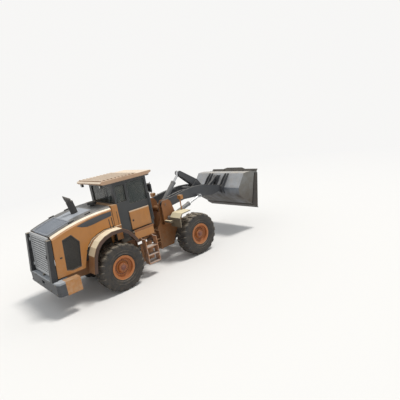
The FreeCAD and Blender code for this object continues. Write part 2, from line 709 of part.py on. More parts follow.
centre_pieces = [
    hinge_wall,
    bar("tower_tube", "Y", 110, (tilt_carrier_x, tilt_carrier_z), -S.tower_inner, S.tower_inner),
    box("tower_shear_plate", (S.boom_pin_x - 200, S.boom_pin_x + 250), (-S.tower_inner, S.tower_inner),
        (S.tyre_radius + 260, S.tyre_radius + 300)),
    box("axle_cross_front", (axle_x + 330, axle_x + 450), (-S.tower_inner, S.tower_inner),
        (S.tyre_radius + S.axle_seat + 10, S.tyre_radius + 330)),
    box("axle_cross_rear", (axle_x - 420, axle_x - 330), (-S.tower_inner, S.tower_inner),
        (S.tyre_radius + S.axle_seat + 10, S.tyre_radius + 330)),
    bar("tilt_base_pin", "Y", S.link_pin_radius, (S.tilt_base_x, S.tilt_base_z),
        -tilt_fork - S.crank_wall - 12, tilt_fork + S.crank_wall + 12),
]
tilt_lug = padded("tilt_lug", "XZ", tilt_lug_outline, tilt_fork, tilt_fork + S.crank_wall)
front_passage = bar("front_shaft_passage", "X", S.shaft_radius + 40, (0, S.tyre_radius), -100, S.boom_pin_x)
front_pieces = both(tilt_lug, *tower, *front_steer_lugs) + centre_pieces + front_ears
sub_part("front_frame", cut("front_frame_whole", fuse("front_frame_joined", front_pieces), [front_passage]))

# Boom, modelled along the line from its tower pivot to the bucket pivot.
boom_run = S.bucket_pin_x - S.boom_pin_x
boom_rise = S.bucket_pin_z - S.boom_pin_z
boom_length = distance(boom_run, boom_rise)
boom_lift = heading(boom_run, boom_rise)


def in_boom(x, z):
    """A side-view point in the boom's own frame."""
    across, up = x - S.boom_pin_x, z - S.boom_pin_z
    along = (across * boom_run + up * boom_rise) / boom_length
    above = (up * boom_run - across * boom_rise) / boom_length
    return along, above


crank_at = in_boom(S.crank_pin_x, S.crank_pin_z)
arm_outline = (
    (0, S.boss_radius, -S.boss_radius, 0),
    (0, -S.boss_radius),
    (boom_length * 0.13, -S.boss_radius + 10),
    (boom_length * 0.32, -40),
    (boom_length * 0.52, -70),
    (boom_length * 0.80, -190),
    (boom_length * 0.92, -S.bucket_boss - 50),
    (boom_length, -S.bucket_boss, boom_length + S.bucket_boss, 0),
    (boom_length, S.bucket_boss),
    (boom_length * 0.84, 190),
    (boom_length * 0.66, 310),
    (boom_length * 0.52, 330),
    (boom_length * 0.34, 285),
    (boom_length * 0.13, 175),
)
half_arm = S.arm_wall / 2
arm = padded("boom_arm", "XZ", arm_outline, S.arm_offset - half_arm, S.arm_offset + half_arm,
             holes=((0, 0, S.boom_pin_radius + S.fit_gap),))
boom_boss = disc("boom_boss", "XZ", 0, 0, S.boss_radius - 15, S.arm_offset - half_arm - 10,
                 S.arm_offset + half_arm + 10, bore=S.boom_pin_radius + S.fit_gap)
bucket_pin = bar("bucket_pin", "Y", S.boom_pin_radius, (boom_length, 0), S.arm_offset - half_arm - 70,
                 S.arm_offset + half_arm + 70)
cross_tube_x = crank_at[0] - 250
cross_tube_z = crank_at[1] - 206
cross_tube = bar("boom_cross_tube", "Y", 120, (cross_tube_x, cross_tube_z), -S.arm_offset, S.arm_offset)
crank_outside = S.crank_gap + S.crank_wall
crank_lug_outline = (
    (cross_tube_x + 65, cross_tube_z - 80),
    (crank_at[0] + 61, crank_at[1] - 73, crank_at[0] + 73, crank_at[1] + 61),
    (crank_at[0] - 61, crank_at[1] + 73),
    (cross_tube_x - 65, cross_tube_z + 80),
)
crank_lug = padded("crank_lug", "XZ", crank_lug_outline, crank_outside + S.side_gap,
                   crank_outside + S.side_gap + S.crank_wall)
crank_pin = bar("crank_pin", "Y", S.boom_pin_radius, crank_at, -crank_outside - S.crank_wall - 30,
                crank_outside + S.crank_wall + 30)
sub_part("boom", fuse("boom_whole", both(arm, boom_boss, bucket_pin, crank_lug) + [cross_tube, crank_pin]),
         x=S.boom_pin_x, z=S.boom_pin_z, turn=boom_lift)

# Bell crank: two plates on a centre boss, from the tilt cylinder's eye to the bucket link.
crank_up = distance(S.tilt_eye_x - S.crank_pin_x, S.tilt_eye_z - S.crank_pin_z)
crank_lift = heading(S.tilt_eye_x - S.crank_pin_x, S.tilt_eye_z - S.crank_pin_z)


def turned_back(across, up, lift):
    """A vector in the frame of a piece that is turned nose up by lift."""
    return across * cosine(lift) + up * sine(lift), up * cosine(lift) - across * sine(lift)


crank_low = turned_back(S.link_pin_x - S.crank_pin_x, S.link_pin_z - S.crank_pin_z, crank_lift)
crank_end = 85
crank_outline = (
    (crank_up, crank_end, crank_up + crank_end, 0),
    (crank_up, -crank_end),
    (0, -S.crank_boss - 45),
    (crank_low[0], crank_low[1] - crank_end, crank_low[0] - crank_end, crank_low[1]),
    (crank_low[0], crank_low[1] + crank_end),
    (0, S.crank_boss + 25),
)
crank_plate = padded("crank_plate", "XZ", crank_outline, S.crank_gap, crank_outside,
                     holes=((0, 0, S.boom_pin_radius + S.fit_gap),))
crank_hub = disc("crank_hub", "XZ", 0, 0, S.crank_boss, -S.crank_gap, S.crank_gap,
                 bore=S.boom_pin_radius + S.fit_gap)
link_pin = bar("link_pin", "Y", S.link_pin_radius, crank_low, -crank_outside - 12, crank_outside + 12)
sub_part("bell_crank", fuse("bell_crank_whole", both(crank_plate) + [crank_hub, link_pin]),
         x=S.crank_pin_x, z=S.crank_pin_z, turn=crank_lift)

# Bucket link: an eye round the bell crank's pin, and an open eye between the bucket's ears.
link_length = distance(S.link_eye_x - S.link_pin_x, S.link_eye_z - S.link_pin_z)
link_lift = heading(S.link_eye_x - S.link_pin_x, S.link_eye_z - S.link_pin_z)
link_end = 80
link_outline = (
    (0, link_end, -link_end, 0),
    (0, -link_end),
    (link_length * 0.2, -link_end + 25),
    (link_length * 0.8, -link_end + 25),
    (link_length, -link_end, link_length + link_end, 0),
    (link_length, link_end),
    (link_length * 0.8, link_end - 25),
    (link_length * 0.2, link_end - 25),
)
link_body = padded("bucket_link_body", "XZ", link_outline, -S.link_wall / 2, S.link_wall / 2,
                   holes=((0, 0, S.link_pin_radius + S.fit_gap), (link_length, 0, S.link_pin_radius + 5)))
sub_part("bucket_link", link_body, x=S.link_pin_x, z=S.link_pin_z, turn=link_lift)


def cylinder(label, run, rise, barrel_radius, rod_radius, eye_radius, eye_wall, bore, plane="XZ",
             gland=0.64, stroke=280):
    """Barrel and rod between two pins; the rod slides in the barrel's bore along X."""
    length = distance(run, rise)
    gland = length * gland
    inner = rod_radius + S.fit_gap
    bore_axis = "Y" if plane == "XZ" else "Z"
    neck = eye_wall / 2 - 2
    outline = (
        (eye_radius * 0.8, 0),
        (eye_radius * 0.8, neck),
        (eye_radius + 30, neck),
        (eye_radius + 30, barrel_radius),
        (gland - 60, barrel_radius),
        (gland - 60, barrel_radius + 8),
        (gland, barrel_radius + 8),
        (gland, inner),
        (eye_radius + 60, inner),
        (eye_radius + 60, 0),
    )
    tube = turned(label + "_tube", outline, "X")
    base_eye = disc(label + "_base_eye", plane, 0, 0, eye_radius, -eye_wall / 2, eye_wall / 2)
    base_bore = bar(label + "_base_bore", bore_axis, bore, (0, 0), -eye_wall, eye_wall)
    barrel = cut(label + "_barrel_whole", fuse(label + "_barrel_joined", [tube, base_eye]), [base_bore])
    shaft = bar(label + "_shaft", "X", rod_radius, (0, 0), eye_radius + 70 + stroke,
                length - eye_radius * 0.6)
    rod_eye = disc(label + "_rod_eye", plane, length, 0, eye_radius, -eye_wall / 2, eye_wall / 2,
                   bore=eye_radius * 0.55)
    return ("barrel", barrel), ("rod", fuse(label + "_rod_whole", [shaft, rod_eye]))


tilt_run, tilt_rise = S.tilt_eye_x - S.tilt_base_x, S.tilt_eye_z - S.tilt_base_z
lift_run, lift_rise = S.lift_eye_x - S.lift_base_x, S.lift_eye_z - S.lift_base_z
steer_run, steer_reach = S.steer_eye_x - S.steer_base_x, S.steer_eye_y - S.steer_base_y
for piece, whole in cylinder("tilt", tilt_run, tilt_rise, S.tilt_barrel_radius, S.tilt_rod_radius,
                             S.tilt_eye_radius, S.link_wall + 10, S.link_pin_radius + S.fit_gap,
                             gland=S.tilt_gland, stroke=S.tilt_stroke):
    sub_part("tilt_" + piece, whole, x=S.tilt_base_x, z=S.tilt_base_z, turn=heading(tilt_run, tilt_rise))
for side, hand in (("left", 1), ("right", -1)):
    for piece, whole in cylinder("lift_" + side, lift_run, lift_rise, S.lift_barrel_radius,
                                 S.lift_rod_radius, S.lift_eye_radius, S.link_wall,
                                 S.link_pin_radius + S.fit_gap, gland=S.lift_gland, stroke=S.lift_stroke):
        sub_part("lift_%s_%s" % (piece, side), whole, x=S.lift_base_x, y=S.lift_offset * hand,
                 z=S.lift_base_z, turn=heading(lift_run, lift_rise))
    for piece, whole in cylinder("steer_" + side, steer_run, steer_reach, S.steer_barrel_radius,
                                 S.steer_rod_radius, S.steer_eye_radius, S.steer_eye_radius * 1.6,
                                 S.steer_pin_radius + S.fit_gap, plane="XY", gland=S.steer_gland,
                                 stroke=S.steer_stroke):
        sub_part("steer_%s_%s" % (piece, side), whole, x=S.steer_base_x, y=S.steer_base_y * hand,
                 z=S.steer_z, turn=heading(steer_run, steer_reach * hand), about=NOSE_LEFT)


# Bucket: modelled level, about its pivot pin, then turned nose down to where it stands.
def bulged(start, end, rise):
    """Start of an arc that stands out from its chord by rise, to the right of its direction."""
    across, up = end[0] - start[0], end[1] - start[1]
    chord = distance(across, up)
    return (start[0], start[1], (start[0] + end[0]) / 2 + up / chord * rise,
            (start[1] + end[1]) / 2 - across / chord * rise)


edge_tip = (S.pin_behind, -S.pin_above)
floor_end = (S.pin_behind - S.floor_length, -S.pin_above)
heel_end = (S.pin_behind - S.heel_x, S.heel_z - S.pin_above)
back_end = (S.pin_behind - S.back_x, S.back_z - S.pin_above)
lip = (S.pin_behind - S.lip_x, S.lip_z - S.pin_above)
half_bucket = S.bucket_width / 2
shell_half = half_bucket - S.side_wall


def bucket_block(name, inset=0, mouth=0):
    """The bucket's side profile as a solid: its outside, or its inside with an open mouth."""
    outline = (
        (edge_tip[0] + mouth, edge_tip[1] + inset),
        bulged((lip[0] + inset * 0.47 + mouth * 0.88, lip[1] - inset * 0.88 + mouth * 0.47),
               (back_end[0] + inset, back_end[1] - inset * 0.6), S.back_bulge),
        (back_end[0] + inset, back_end[1] - inset * 0.6),
        bulged((heel_end[0] + inset, heel_end[1] + inset * 0.4),
               (floor_end[0] + inset * 0.4, floor_end[1] + inset), S.heel_bulge),
        (floor_end[0] + inset * 0.4, floor_end[1] + inset),
    )
    return padded(name, "XZ", outline, inset - shell_half, shell_half - inset)


bucket_tilt = -S.bucket_tilt
bucket_at = {"x": S.bucket_pin_x, "z": S.bucket_pin_z, "turn": bucket_tilt}
bucket_shell = cut("bucket_shell_whole", bucket_block("bucket_outside"),
                   [bucket_block("bucket_inside", S.bucket_wall, S.bucket_wall * 4)])
sub_part("bucket_shell", bucket_shell, **bucket_at)

# Ears and back ribs: one pair hugs each boom arm, one pair takes the bucket link.
link_at = turned_back(S.link_eye_x - S.bucket_pin_x, S.link_eye_z - S.bucket_pin_z, bucket_tilt)
ear_end = 105
arm_ear_outline = (
    (0, -ear_end, -ear_end, 0),
    (-40, ear_end - 12),
    (-10, back_end[1] - 260),
    (back_end[0] - 60, back_end[1] - 20),
    (back_end[0] + 160, back_end[1] + 40),
    (back_end[0] + 160, floor_end[1] + 60),
    (60, floor_end[1] + 60),
)
link_ear_outline = (
    (link_at[0], link_at[1] - ear_end + 15, link_at[0] - ear_end + 15, link_at[1]),
    (link_at[0], link_at[1] + ear_end - 15),
    (back_end[0] + 160, back_end[1] + 20),
    (back_end[0] + 160, 40),
    (heel_end[0] - 40, 40),
)
arm_clear = half_arm + 10 + S.side_gap
bucket_ears = []
for name, low in (("inside", S.arm_offset - arm_clear - S.bucket_ear), ("outside", S.arm_offset + arm_clear)):
    bucket_ears.append(padded("arm_ear_" + name, "XZ", arm_ear_outline, low, low + S.bucket_ear,
                              holes=((0, 0, S.boom_pin_radius + S.fit_gap),)))
link_clear = S.link_wall / 2 + S.side_gap
bucket_ears.append(padded("link_ear", "XZ", link_ear_outline, link_clear, link_clear + S.bucket_ear))
bucket_ears.append(bar("link_pin_head", "Y", S.link_pin_radius, link_at, link_clear + S.bucket_ear,
                       link_clear + S.bucket_ear + 20))
ear_joint = cut("bucket_ears_whole", fuse("bucket_ears_joined", both(*bucket_ears)), [bucket_block("ear_seat")])
sub_part("bucket_ears", ear_joint, **bucket_at)

edge_outline = (
    (S.pin_behind - 260, -S.pin_above),
    (S.pin_behind - 260, -S.pin_above - S.edge_wall),
    (S.pin_behind + 40, -S.pin_above - S.edge_wall),
    (S.pin_behind + 70, -S.pin_above - S.edge_wall + 10),
    (S.pin_behind + 10, -S.pin_above),
)
edge_plate = padded("edge_plate", "XZ", edge_outline, -half_bucket, half_bucket)
cutter_outline = (
    (edge_tip[0] - 330, edge_tip[1]),
    (edge_tip[0] + 6, edge_tip[1]),
    (lip[0] + 6, lip[1] - 30),
    (lip[0] - 150, lip[1] - 100),
)
side_cutter = padded("side_cutter", "XZ", cutter_outline, shell_half, half_bucket)
sub_part("cutting_edges", [edge_plate] + both(side_cutter), **bucket_at)

# Spill guard: a plate that stands on the lip, with a raised middle, a foot and gussets behind it.
guard_half = half_bucket - 60
guard_outline = (
    (-guard_half, 0),
    (guard_half, 0),
    (guard_half, S.guard_height),
    (640, S.guard_height),
    (440, S.guard_middle),
    (-440, S.guard_middle),
    (-640, S.guard_height),
    (-guard_half, S.guard_height),
)
guard_plate = place(padded("guard_plate", "YZ", guard_outline, 0, S.guard_wall), lip[0] - 10, 0, lip[1] - 10,
                    turn=-S.guard_lean)
guard_foot_outline = (
    (lip[0] - 126, lip[1] - 70),
    (lip[0] + 4, lip[1] - 30),
    (lip[0] + 4, lip[1] + S.guard_wall + 1),
    (lip[0] - 131, lip[1] - 41 + S.guard_wall),
)
gusset_outline = (
    (lip[0] - 120, lip[1] - 60),
    (lip[0] - 4, lip[1] - 30),
    (lip[0] + 8, lip[1] + S.guard_height - 40),
)
guard_pieces = [guard_plate, padded("guard_foot", "XZ", guard_foot_outline, -guard_half, guard_half)]
for share in (-0.86, -0.43, 0, 0.43, 0.86):
    middle = guard_half * share
    guard_pieces.append(padded("guard_gusset", "XZ", gusset_outline, middle - S.guard_wall / 2,
                               middle + S.guard_wall / 2))
spill_guard = cut("spill_guard_whole", fuse("spill_guard_joined", guard_pieces), [bucket_block("guard_seat")])
sub_part("spill_guard", spill_guard, **bucket_at)

# Front mudguards on brackets that pass behind the lift cylinders, and the head lamps on their posts.
guard_rear_x = S.boom_pin_x - 20
mudguard_outline = (
    (guard_rear_x, 1240),
    (guard_rear_x + S.sheet_wall, 1240),
    (guard_rear_x + S.sheet_wall + 30, 1560),
    (guard_rear_x + 150, 1680),
    (axle_x - 290, 1700),
    (axle_x - 290, 1700 + S.sheet_wall),
    (guard_rear_x + 130, 1680 + S.sheet_wall),
    (guard_rear_x, 1570),
)
mudguard = padded("mudguard", "XZ", mudguard_outline, S.guard_inner, S.fender_outer)
mudguard_bracket = box("mudguard_bracket", (S.boom_pin_x - 150, S.boom_pin_x - 80),
                       (S.tower_outer + half_tower, S.guard_inner + 150), (1400, 1470))
mudguard_foot = box("mudguard_foot", (S.boom_pin_x - 150, guard_rear_x),
                    (S.guard_inner + 60, S.guard_inner + 150), (1400, 1470))
sub_part("front_fenders", both(fuse("mudguard_whole", [mudguard, mudguard_bracket, mudguard_foot])))
lamp_post = bar("lamp_post", "Z", 22, (axle_x - 330, 850), 1700 + S.sheet_wall, 2120)
lamp_body = box("lamp_body", (axle_x - 360, axle_x - 240), (760, 940), (2100, 2240))
sub_part("front_lamps", both(fuse("lamp_whole", [lamp_post, lamp_body])))

# Counterweight with a drawbar slot and its vertical pin bore.
weight_outline = (
    (weight_rear_x, -weight_half + 120),
    (weight_rear_x + 70, -weight_half),
    (weight_rear_x + 230, -weight_half),
    (weight_rear_x + 230, -S.hood_half),
    (-S.rear_length + 260, -S.hood_half),
    (-S.rear_length + 260, S.hood_half),
    (weight_rear_x + 230, S.hood_half),
    (weight_rear_x + 230, weight_half),
    (weight_rear_x + 70, weight_half),
    (weight_rear_x, weight_half - 120),
)
weight = padded("weight_block", "XY", weight_outline, S.weight_low, S.weight_high)
hitch_slot = box("hitch_slot", (weight_rear_x - 10, weight_rear_x + 130), (-110, 110), (780, 880))
hitch_bore = bar("hitch_bore", "Z", S.hitch_radius, (weight_rear_x + 65, 0), S.weight_low - 10,
                 S.weight_high + 10)
sub_part("counterweight", cut("counterweight_whole", weight, [hitch_slot, hitch_bore]))
tool_box = box("tool_box_body", (weight_rear_x + 230, weight_rear_x + 660),
               (S.hood_half + 20, weight_half), (S.weight_low - 20, S.weight_high - 10))
sub_part("tool_boxes", both(tool_box))

# Engine: one block between the rails, from the cross plate up.
sub_part("engine_block", box("engine_body", (-S.rear_length + 450, -axle_x - 400),
                             (-S.engine_half, S.engine_half), (S.rail_top - 200, S.engine_top)))

# Hood: a crowned top on two hoops, side doors that take its shoulders along, and the rear grille.
hood_rear_x = -S.rear_length + 10
top_rear = (hood_rear_x + S.rear_lean - 20, S.hood_rear_top + S.shoulder * 0.6)
top_front = (S.hood_front_x, S.hood_front_top + S.shoulder * 0.6)


def lowered(corner, drop):
    return corner[0], corner[1] - drop


def crown(drop):
    """The hood's top line, from its front to its rear, lowered by some drop."""
    return bulged(lowered(top_front, drop), lowered(top_rear, drop), S.hood_crown), lowered(top_rear, drop)


def above_hood(name, drop):
    """Everything above the hood's top line, to end pieces on it from below."""
    return padded(name, "XZ", (
        bulged(lowered(top_rear, drop), lowered(top_front, drop), -S.hood_crown),
        lowered(top_front, drop),
        (top_front[0] + 300, top_front[1]),
        (top_front[0] + 300, top_front[1] + 600),
        (top_rear[0] - 300, top_front[1] + 600),
        (top_rear[0] - 300, top_rear[1] - drop),
    ), -S.hood_half - 50, S.hood_half + 50)


hood_plane = S.hood_half - S.shoulder - S.sheet_wall


def knuckle(name, axis, centre, start, end):
    """The part of a hinge that turns on the pin."""
    ring = bar(name + "_ring", axis, S.knuckle, centre, start, end)
    return ring, bar(name + "_bore", axis, S.hinge_pin + S.fit_gap, centre, start - 5, end + 5)


door_chord = heading(top_front[0] - top_rear[0], top_front[1] - top_rear[1])
chord_length = distance(top_front[0] - top_rear[0], top_front[1] - top_rear[1])
door_axis_y = hood_plane - S.door_gap / 2
HINGE_SHARES = (0.36, 0.64)
door_leaves, door_bores, hood_lugs = [], [], []
for share in HINGE_SHARES:
    middle = chord_length * share
    ring, bore = knuckle("door_knuckle", "X", (door_axis_y, 0), middle - 50, middle + 50)
    leaf = box("door_leaf", (middle - 50, middle + 50), (hood_plane, hood_plane + 10), (-60, 4))
    door_leaves.append(fuse("door_leaf_joined", [ring, leaf]))
    door_bores.append(bore)
    hood_lugs.append(bar("door_pin", "X", S.hinge_pin, (door_axis_y, 0), middle - 90, middle + 90))
    for start in (middle - 90, middle + 55):
        hood_lugs.append(bar("hood_lug_ring", "X", S.knuckle, (door_axis_y, 0), start, start + 35))
        hood_lugs.append(box("hood_lug", (start, start + 35), (hood_plane - 24, hood_plane - S.door_gap),
                             (-60, 4)))


def on_chord(name, pieces):
    """Hinge pieces moved to the hinge line above the hood."""
    return place(fuse(name, pieces), top_rear[0], 0, top_rear[1] + S.door_axis, turn=door_chord)


hood_cover = padded("hood_cover", "XZ", (
    bulged(lowered(top_rear, S.sheet_wall), lowered(top_front, S.sheet_wall), -S.hood_crown),
    lowered(top_front, S.sheet_wall),
    *crown(0),
), -hood_plane + S.door_gap, hood_plane - S.door_gap)
sub_part("hood_top", fuse("hood_top_whole", [hood_cover] + both(on_chord("hood_lugs_placed", hood_lugs))))

hoop_half = hood_plane - S.hoop_gap
hoops = []
for name, x, low in (("front", S.hood_front_x - 60, S.rail_top), ("rear", top_rear[0] + 40, S.weight_high)):
    hoops.append(box("hoop_top_" + name, (x - 30, x + 30), (-hoop_half, hoop_half), (S.hood_rear_top - 60, 3000)))
    for side in (-1, 1):
        outer = hoop_half * side
        inner = (hoop_half - 60) * side
        span = (inner, outer) if side > 0 else (outer, inner)
        hoops.append(box("hoop_leg_" + name, (x - 30, x + 30), span, (low, 3000)))
    if name == "front":
        hoops.append(box("hoop_foot_" + name, (x - 30, x + 30), (-hoop_half, hoop_half), (low, low + 60)))
sub_part("hood_frame", cut("hood_frame_whole", fuse("hood_frame_joined", hoops),
                           [above_hood("hoop_end", S.sheet_wall)]))

fender_line = (
    # along and above the rear axle: the lower edge of the hood sides, over the fender
    (-1010, 334),
    (-910, 654),
    (-790, 934),
    (-630, 1104),
    (-430, 1184),
    (-210, 1244),
)
over_fender = [(along - axle_x, S.tyre_radius + above) for along, above in fender_line]


def door_outline(drop):
    """The side door from the grille to the tank, its top line lowered by some drop."""
    return [(hood_rear_x, S.hood_bottom), *over_fender, (S.hood_front_x, over_fender[-1][1]), *crown(drop)]


door_room_outline = (
    (hood_rear_x - 10, S.hood_bottom - 10),
    (S.hood_front_x + 10, S.hood_bottom - 10),
    bulged((top_front[0] + 10, top_front[1] - S.shoulder + 14), (top_rear[0] - 10, top_rear[1] - S.shoulder + 14),
           S.hood_crown),
    (top_rear[0] - 10, top_rear[1] - S.shoulder + 14),
)
hexagon = (
    # share of the way from the hood's rear edge to its fender line, height above the axle
    (0.88, 430),
    (1.01, 1154),
    (0.77, 1414),
    (0.43, 1344),
    (0.35, 474),
    (0.55, 414),
)
hex_room = over_fender[0][0] - hood_rear_x
hex_window = [(hood_rear_x + hex_room * share, S.tyre_radius + above) for share, above in hexagon]
for side, hand in (("left", 1), ("right", -1)):
    slant_start = S.hood_half - S.shoulder
    panel = padded("door_panel_" + side, "XZ", door_outline(0), hood_plane, slant_start)
    slant = ruled("door_slant_" + side, door_outline(0), slant_start, door_outline(S.shoulder), S.hood_half)
    room = padded("door_room_" + side, "XZ", door_room_outline, hood_plane - 10, S.hood_half - S.sheet_wall)
    hex_cut = padded("hex_cut_" + side, "XZ", hex_window, S.hood_half - S.sheet_wall - 10, S.hood_half + 10)
    leaves = on_chord("door_leaves_" + side, door_leaves)
    pin_room = on_chord("door_pin_room_" + side, door_bores)
    skin = cut("door_skin_" + side, fuse("door_joined_" + side, [panel, slant]), [room, hex_cut])
    door = cut("door_whole_" + side, fuse("door_hung_" + side, [skin, leaves]), [pin_room])
    mesh = padded("mesh_plate_" + side, "XZ", hex_window, S.hood_half - S.sheet_wall + 8, S.hood_half - S.sheet_wall + 16)
    sub_part("engine_door_" + side, door if hand > 0 else mirrored(door))
    sub_part("door_mesh_" + side, mesh if hand > 0 else mirrored(mesh))

# Rear grille: a leaning frame with bars, between the dark lamp strips at the corners.
lean = (top_rear[0] - hood_rear_x) / (top_rear[1] - S.hood_bottom)


def rear_x(z):
    """The leaning line of the hood's rear edge."""
    return hood_rear_x + (z - S.hood_bottom) * lean


grille_low, grille_high = S.hood_bottom, S.hood_rear_top + 40


def leaning(name, front, rear, low, high, start, end):
    """Block between two heights whose faces follow the leaning rear line."""
    outline = ((rear_x(low) - rear, low), (rear_x(low) - front, low), (rear_x(high) - front, high),
               (rear_x(high) - rear, high))
    return padded(name, "XZ", outline, start, end)


grille_depth = S.grille_wall + 20
grille_frame = cut("grille_frame", leaning("grille_plate", 20, grille_depth, grille_low, grille_high,
                                           -grille_half + 4, grille_half - 4),
                   [leaning("grille_opening", 0, grille_depth + 20, grille_low + 90, grille_high - 70,
                            -grille_half + 90, grille_half - 90)])
bars = []
bar_count = 14
for number in range(bar_count):
    z = grille_low + 90 + (grille_high - grille_low - 160) * ((number + 0.5) / bar_count)
    bars.append(leaning("grille_bar", 26, grille_depth - 8, z - 17, z + 17, -grille_half + 90, grille_half - 90))
# The grille turns on two pins behind its left edge, held by lugs on the lamp strip.
grille_axis_y = grille_half - 10
grille_leaves, grille_bores, strip_lugs = [], [], []
grille_rise = distance(top_rear[0] - hood_rear_x, top_rear[1] - S.hood_bottom)
for share in (0.15, 0.80):
    middle = grille_rise * share
    ring, bore = knuckle("grille_knuckle", "Z", (0, grille_axis_y), middle - 45, middle + 45)
    leaf = box("grille_leaf", (-6, 20), (grille_axis_y - 12, grille_axis_y - 2), (middle - 45, middle + 45))
    grille_leaves.append(fuse("grille_leaf_joined", [ring, leaf]))
    grille_bores.append(bore)
    strip_lugs.append(bar("grille_pin", "Z", S.hinge_pin, (0, grille_axis_y), middle - 75, middle + 75))
    for start in (middle - 75, middle + 50):
        strip_lugs.append(box("strip_lug", (-12, 10), (grille_axis_y - 8, grille_half + 12), (start, start + 25)))
grille_lean = heading(top_rear[1] - S.hood_bottom, top_rear[0] - hood_rear_x)


def on_rear_line(name, pieces):
    """Hinge pieces moved to the grille's hinge line, which leans like the rear face."""
    return place(fuse(name, pieces), hood_rear_x - grille_depth - 18, 0, S.hood_bottom, turn=-grille_lean)


grille_hung = fuse("grille_hung", [grille_frame, on_rear_line("grille_leaves", grille_leaves)] + bars)
sub_part("rear_grille", cut("grille_whole", grille_hung, [on_rear_line("grille_pin_room", grille_bores)]))
strip_outline = (
    (hood_rear_x - 190, S.weight_high),
    (hood_rear_x - 24, S.weight_high),
    (rear_x(S.hood_rear_top) - 20, S.hood_rear_top),
    (rear_x(S.hood_rear_top) - 130, S.hood_rear_top),
)
strip = padded("lamp_strip", "XZ", strip_outline, grille_half + 10, S.hood_half + 20)
strip_left = fuse("lamp_strip_left", [strip, on_rear_line("strip_lugs", strip_lugs)])
strip_right = mirrored(padded("lamp_strip_right", "XZ", strip_outline, grille_half + 10, S.hood_half + 20))
sub_part("rear_lamps", [strip_left, strip_right])

# Stacks on the hood: the exhaust, with its bent tip under a slanted mouth, and the low intake.
stack_x, intake_x = -2150, -1570
stack_base = 2380
stack_length = 560
stack_end_x = stack_x - sine(S.stack_lean) * stack_length
stack_end_z = stack_base + cosine(S.stack_lean) * stack_length
tip_bar = place(bar("exhaust_tip_bar", "Z", S.stack_radius - 4, (0, 0), -60, 330), stack_end_x, 0, stack_end_z,
                turn=S.tip_lean)
mouth = padded("exhaust_mouth", "XZ", (
    (stack_end_x - 34, stack_end_z - 119),
    (stack_end_x - 218, stack_end_z + 398),
    (stack_end_x - 600, stack_end_z + 398),
    (stack_end_x - 600, stack_end_z - 119),
), -200, 200)
stack_pieces = [
    place(bar("exhaust_pipe", "Z", S.stack_radius, (0, 0), 0, stack_length), stack_x, 0, stack_base,
          turn=S.stack_lean),
    cut("exhaust_tip", tip_bar, [mouth]),
    bar("intake_neck", "Z", 70, (intake_x, 0), 2400, 2680),
    bar("intake_bowl", "Z", 150, (intake_x, 0), 2655, 2735),
]
under_hood = padded("under_hood", "XZ", (
    (top_rear[0] + 100, 1500),
    (top_front[0] + 100, 1500),
    bulged((top_front[0] + 0, top_front[1]), top_rear, S.hood_crown),
    top_rear,
), -400, 400)
sub_part("hood_stacks", cut("hood_stacks_whole", fuse("hood_stacks_joined", stack_pieces), [under_hood]))

# Hydraulic tank between the hood and the cab, on two feet on the rails.
tank_low = S.cab_floor - 60
tank_body = box("tank_body", (S.hood_front_x + 30, S.tank_front_x), (-fender_inner + 40, fender_inner - 40),
                (tank_low, S.hood_front_top + 60))
tank_foot = box("tank_foot", (S.hood_front_x + 60, S.tank_front_x - 30),
                (S.rail_offset - half_plate, S.rail_offset + half_plate), (S.rail_top, tank_low))
sub_part("hydraulic_tank", fuse("tank_whole", [tank_body] + both(tank_foot)))

# Rear fenders: an arched band outside a web that closes the wheel arch under the hood sides.
arch = (
    # along and above the rear axle: the fender's outer line from its rear foot to its front foot
    (-950, 174),
    (-841, 662),
    (-727, 884),
    (-589, 1031),
    (-408, 1133),
    (-162, 1199),
    (202, 1188),
    (400, 1060),
    (560, 880),
    (690, 660),
)
arch_centre = (0, 100)


def arch_corner(along, above, inset):
    """A corner of the arch, moved towards the wheel by some inset."""
    reach = math.hypot(along - arch_centre[0], above - arch_centre[1])
    share = 1 - inset / reach
    return (arch_centre[0] + (along - arch_centre[0]) * share - axle_x,
            S.tyre_radius + arch_centre[1] + (above - arch_centre[1]) * share)


fender_band = padded("fender_band", "XZ",
                     [arch_corner(along, above, 0) for along, above in arch]
                     + [arch_corner(along, above, 34) for along, above in arch[::-1]],
                     fender_inner, S.fender_outer)
web_top = [(corner[0], corner[1] - 30) for corner in over_fender[2:]]
fender_web = padded("fender_web", "XZ",
                    [arch_corner(along, above, 0) for along, above in arch[1:3]]
                    + web_top + [(S.hood_front_x + 26, web_top[-1][1]), (S.tank_front_x, web_top[-1][1])]
                    + [arch_corner(along, above, 60) for along, above in arch[6:0:-1]],
                    fender_inner - 40, fender_inner)
sub_part("rear_fenders", both(fuse("fender_whole", [fender_band, fender_web])))
skirt = padded("fender_skirt", "XZ",
               [arch_corner(along, above, 14) for along, above in arch]
               + [arch_corner(along, above, 110) for along, above in arch[::-1]],
               S.fender_outer, S.fender_outer + 18)
sub_part("fender_skirts", both(skirt))

# Cab: a platform on four mounts, a hollow frame with cut windows, panes, roof, door and interior.
deck_pieces = [
    box("deck_body", (-820, -60), (-S.cab_half - 100, S.cab_half + 100), (S.deck_low, S.cab_floor)),
    box("deck_tail", (S.tank_front_x, -820), (-S.cab_half + 60, S.cab_half - 60), (S.deck_low, S.cab_floor)),
]
for x, y, low in ((S.neck_x - half_plate, 400, S.rail_top), (-S.hinge_reach - half_plate, 180, frame_high)):
    for hand in (-1, 1):
        deck_pieces.append(bar("cab_mount", "Z", half_plate, (x, y * hand), low, S.deck_low))
sub_part("cab_platform", fuse("cab_platform_whole", deck_pieces))

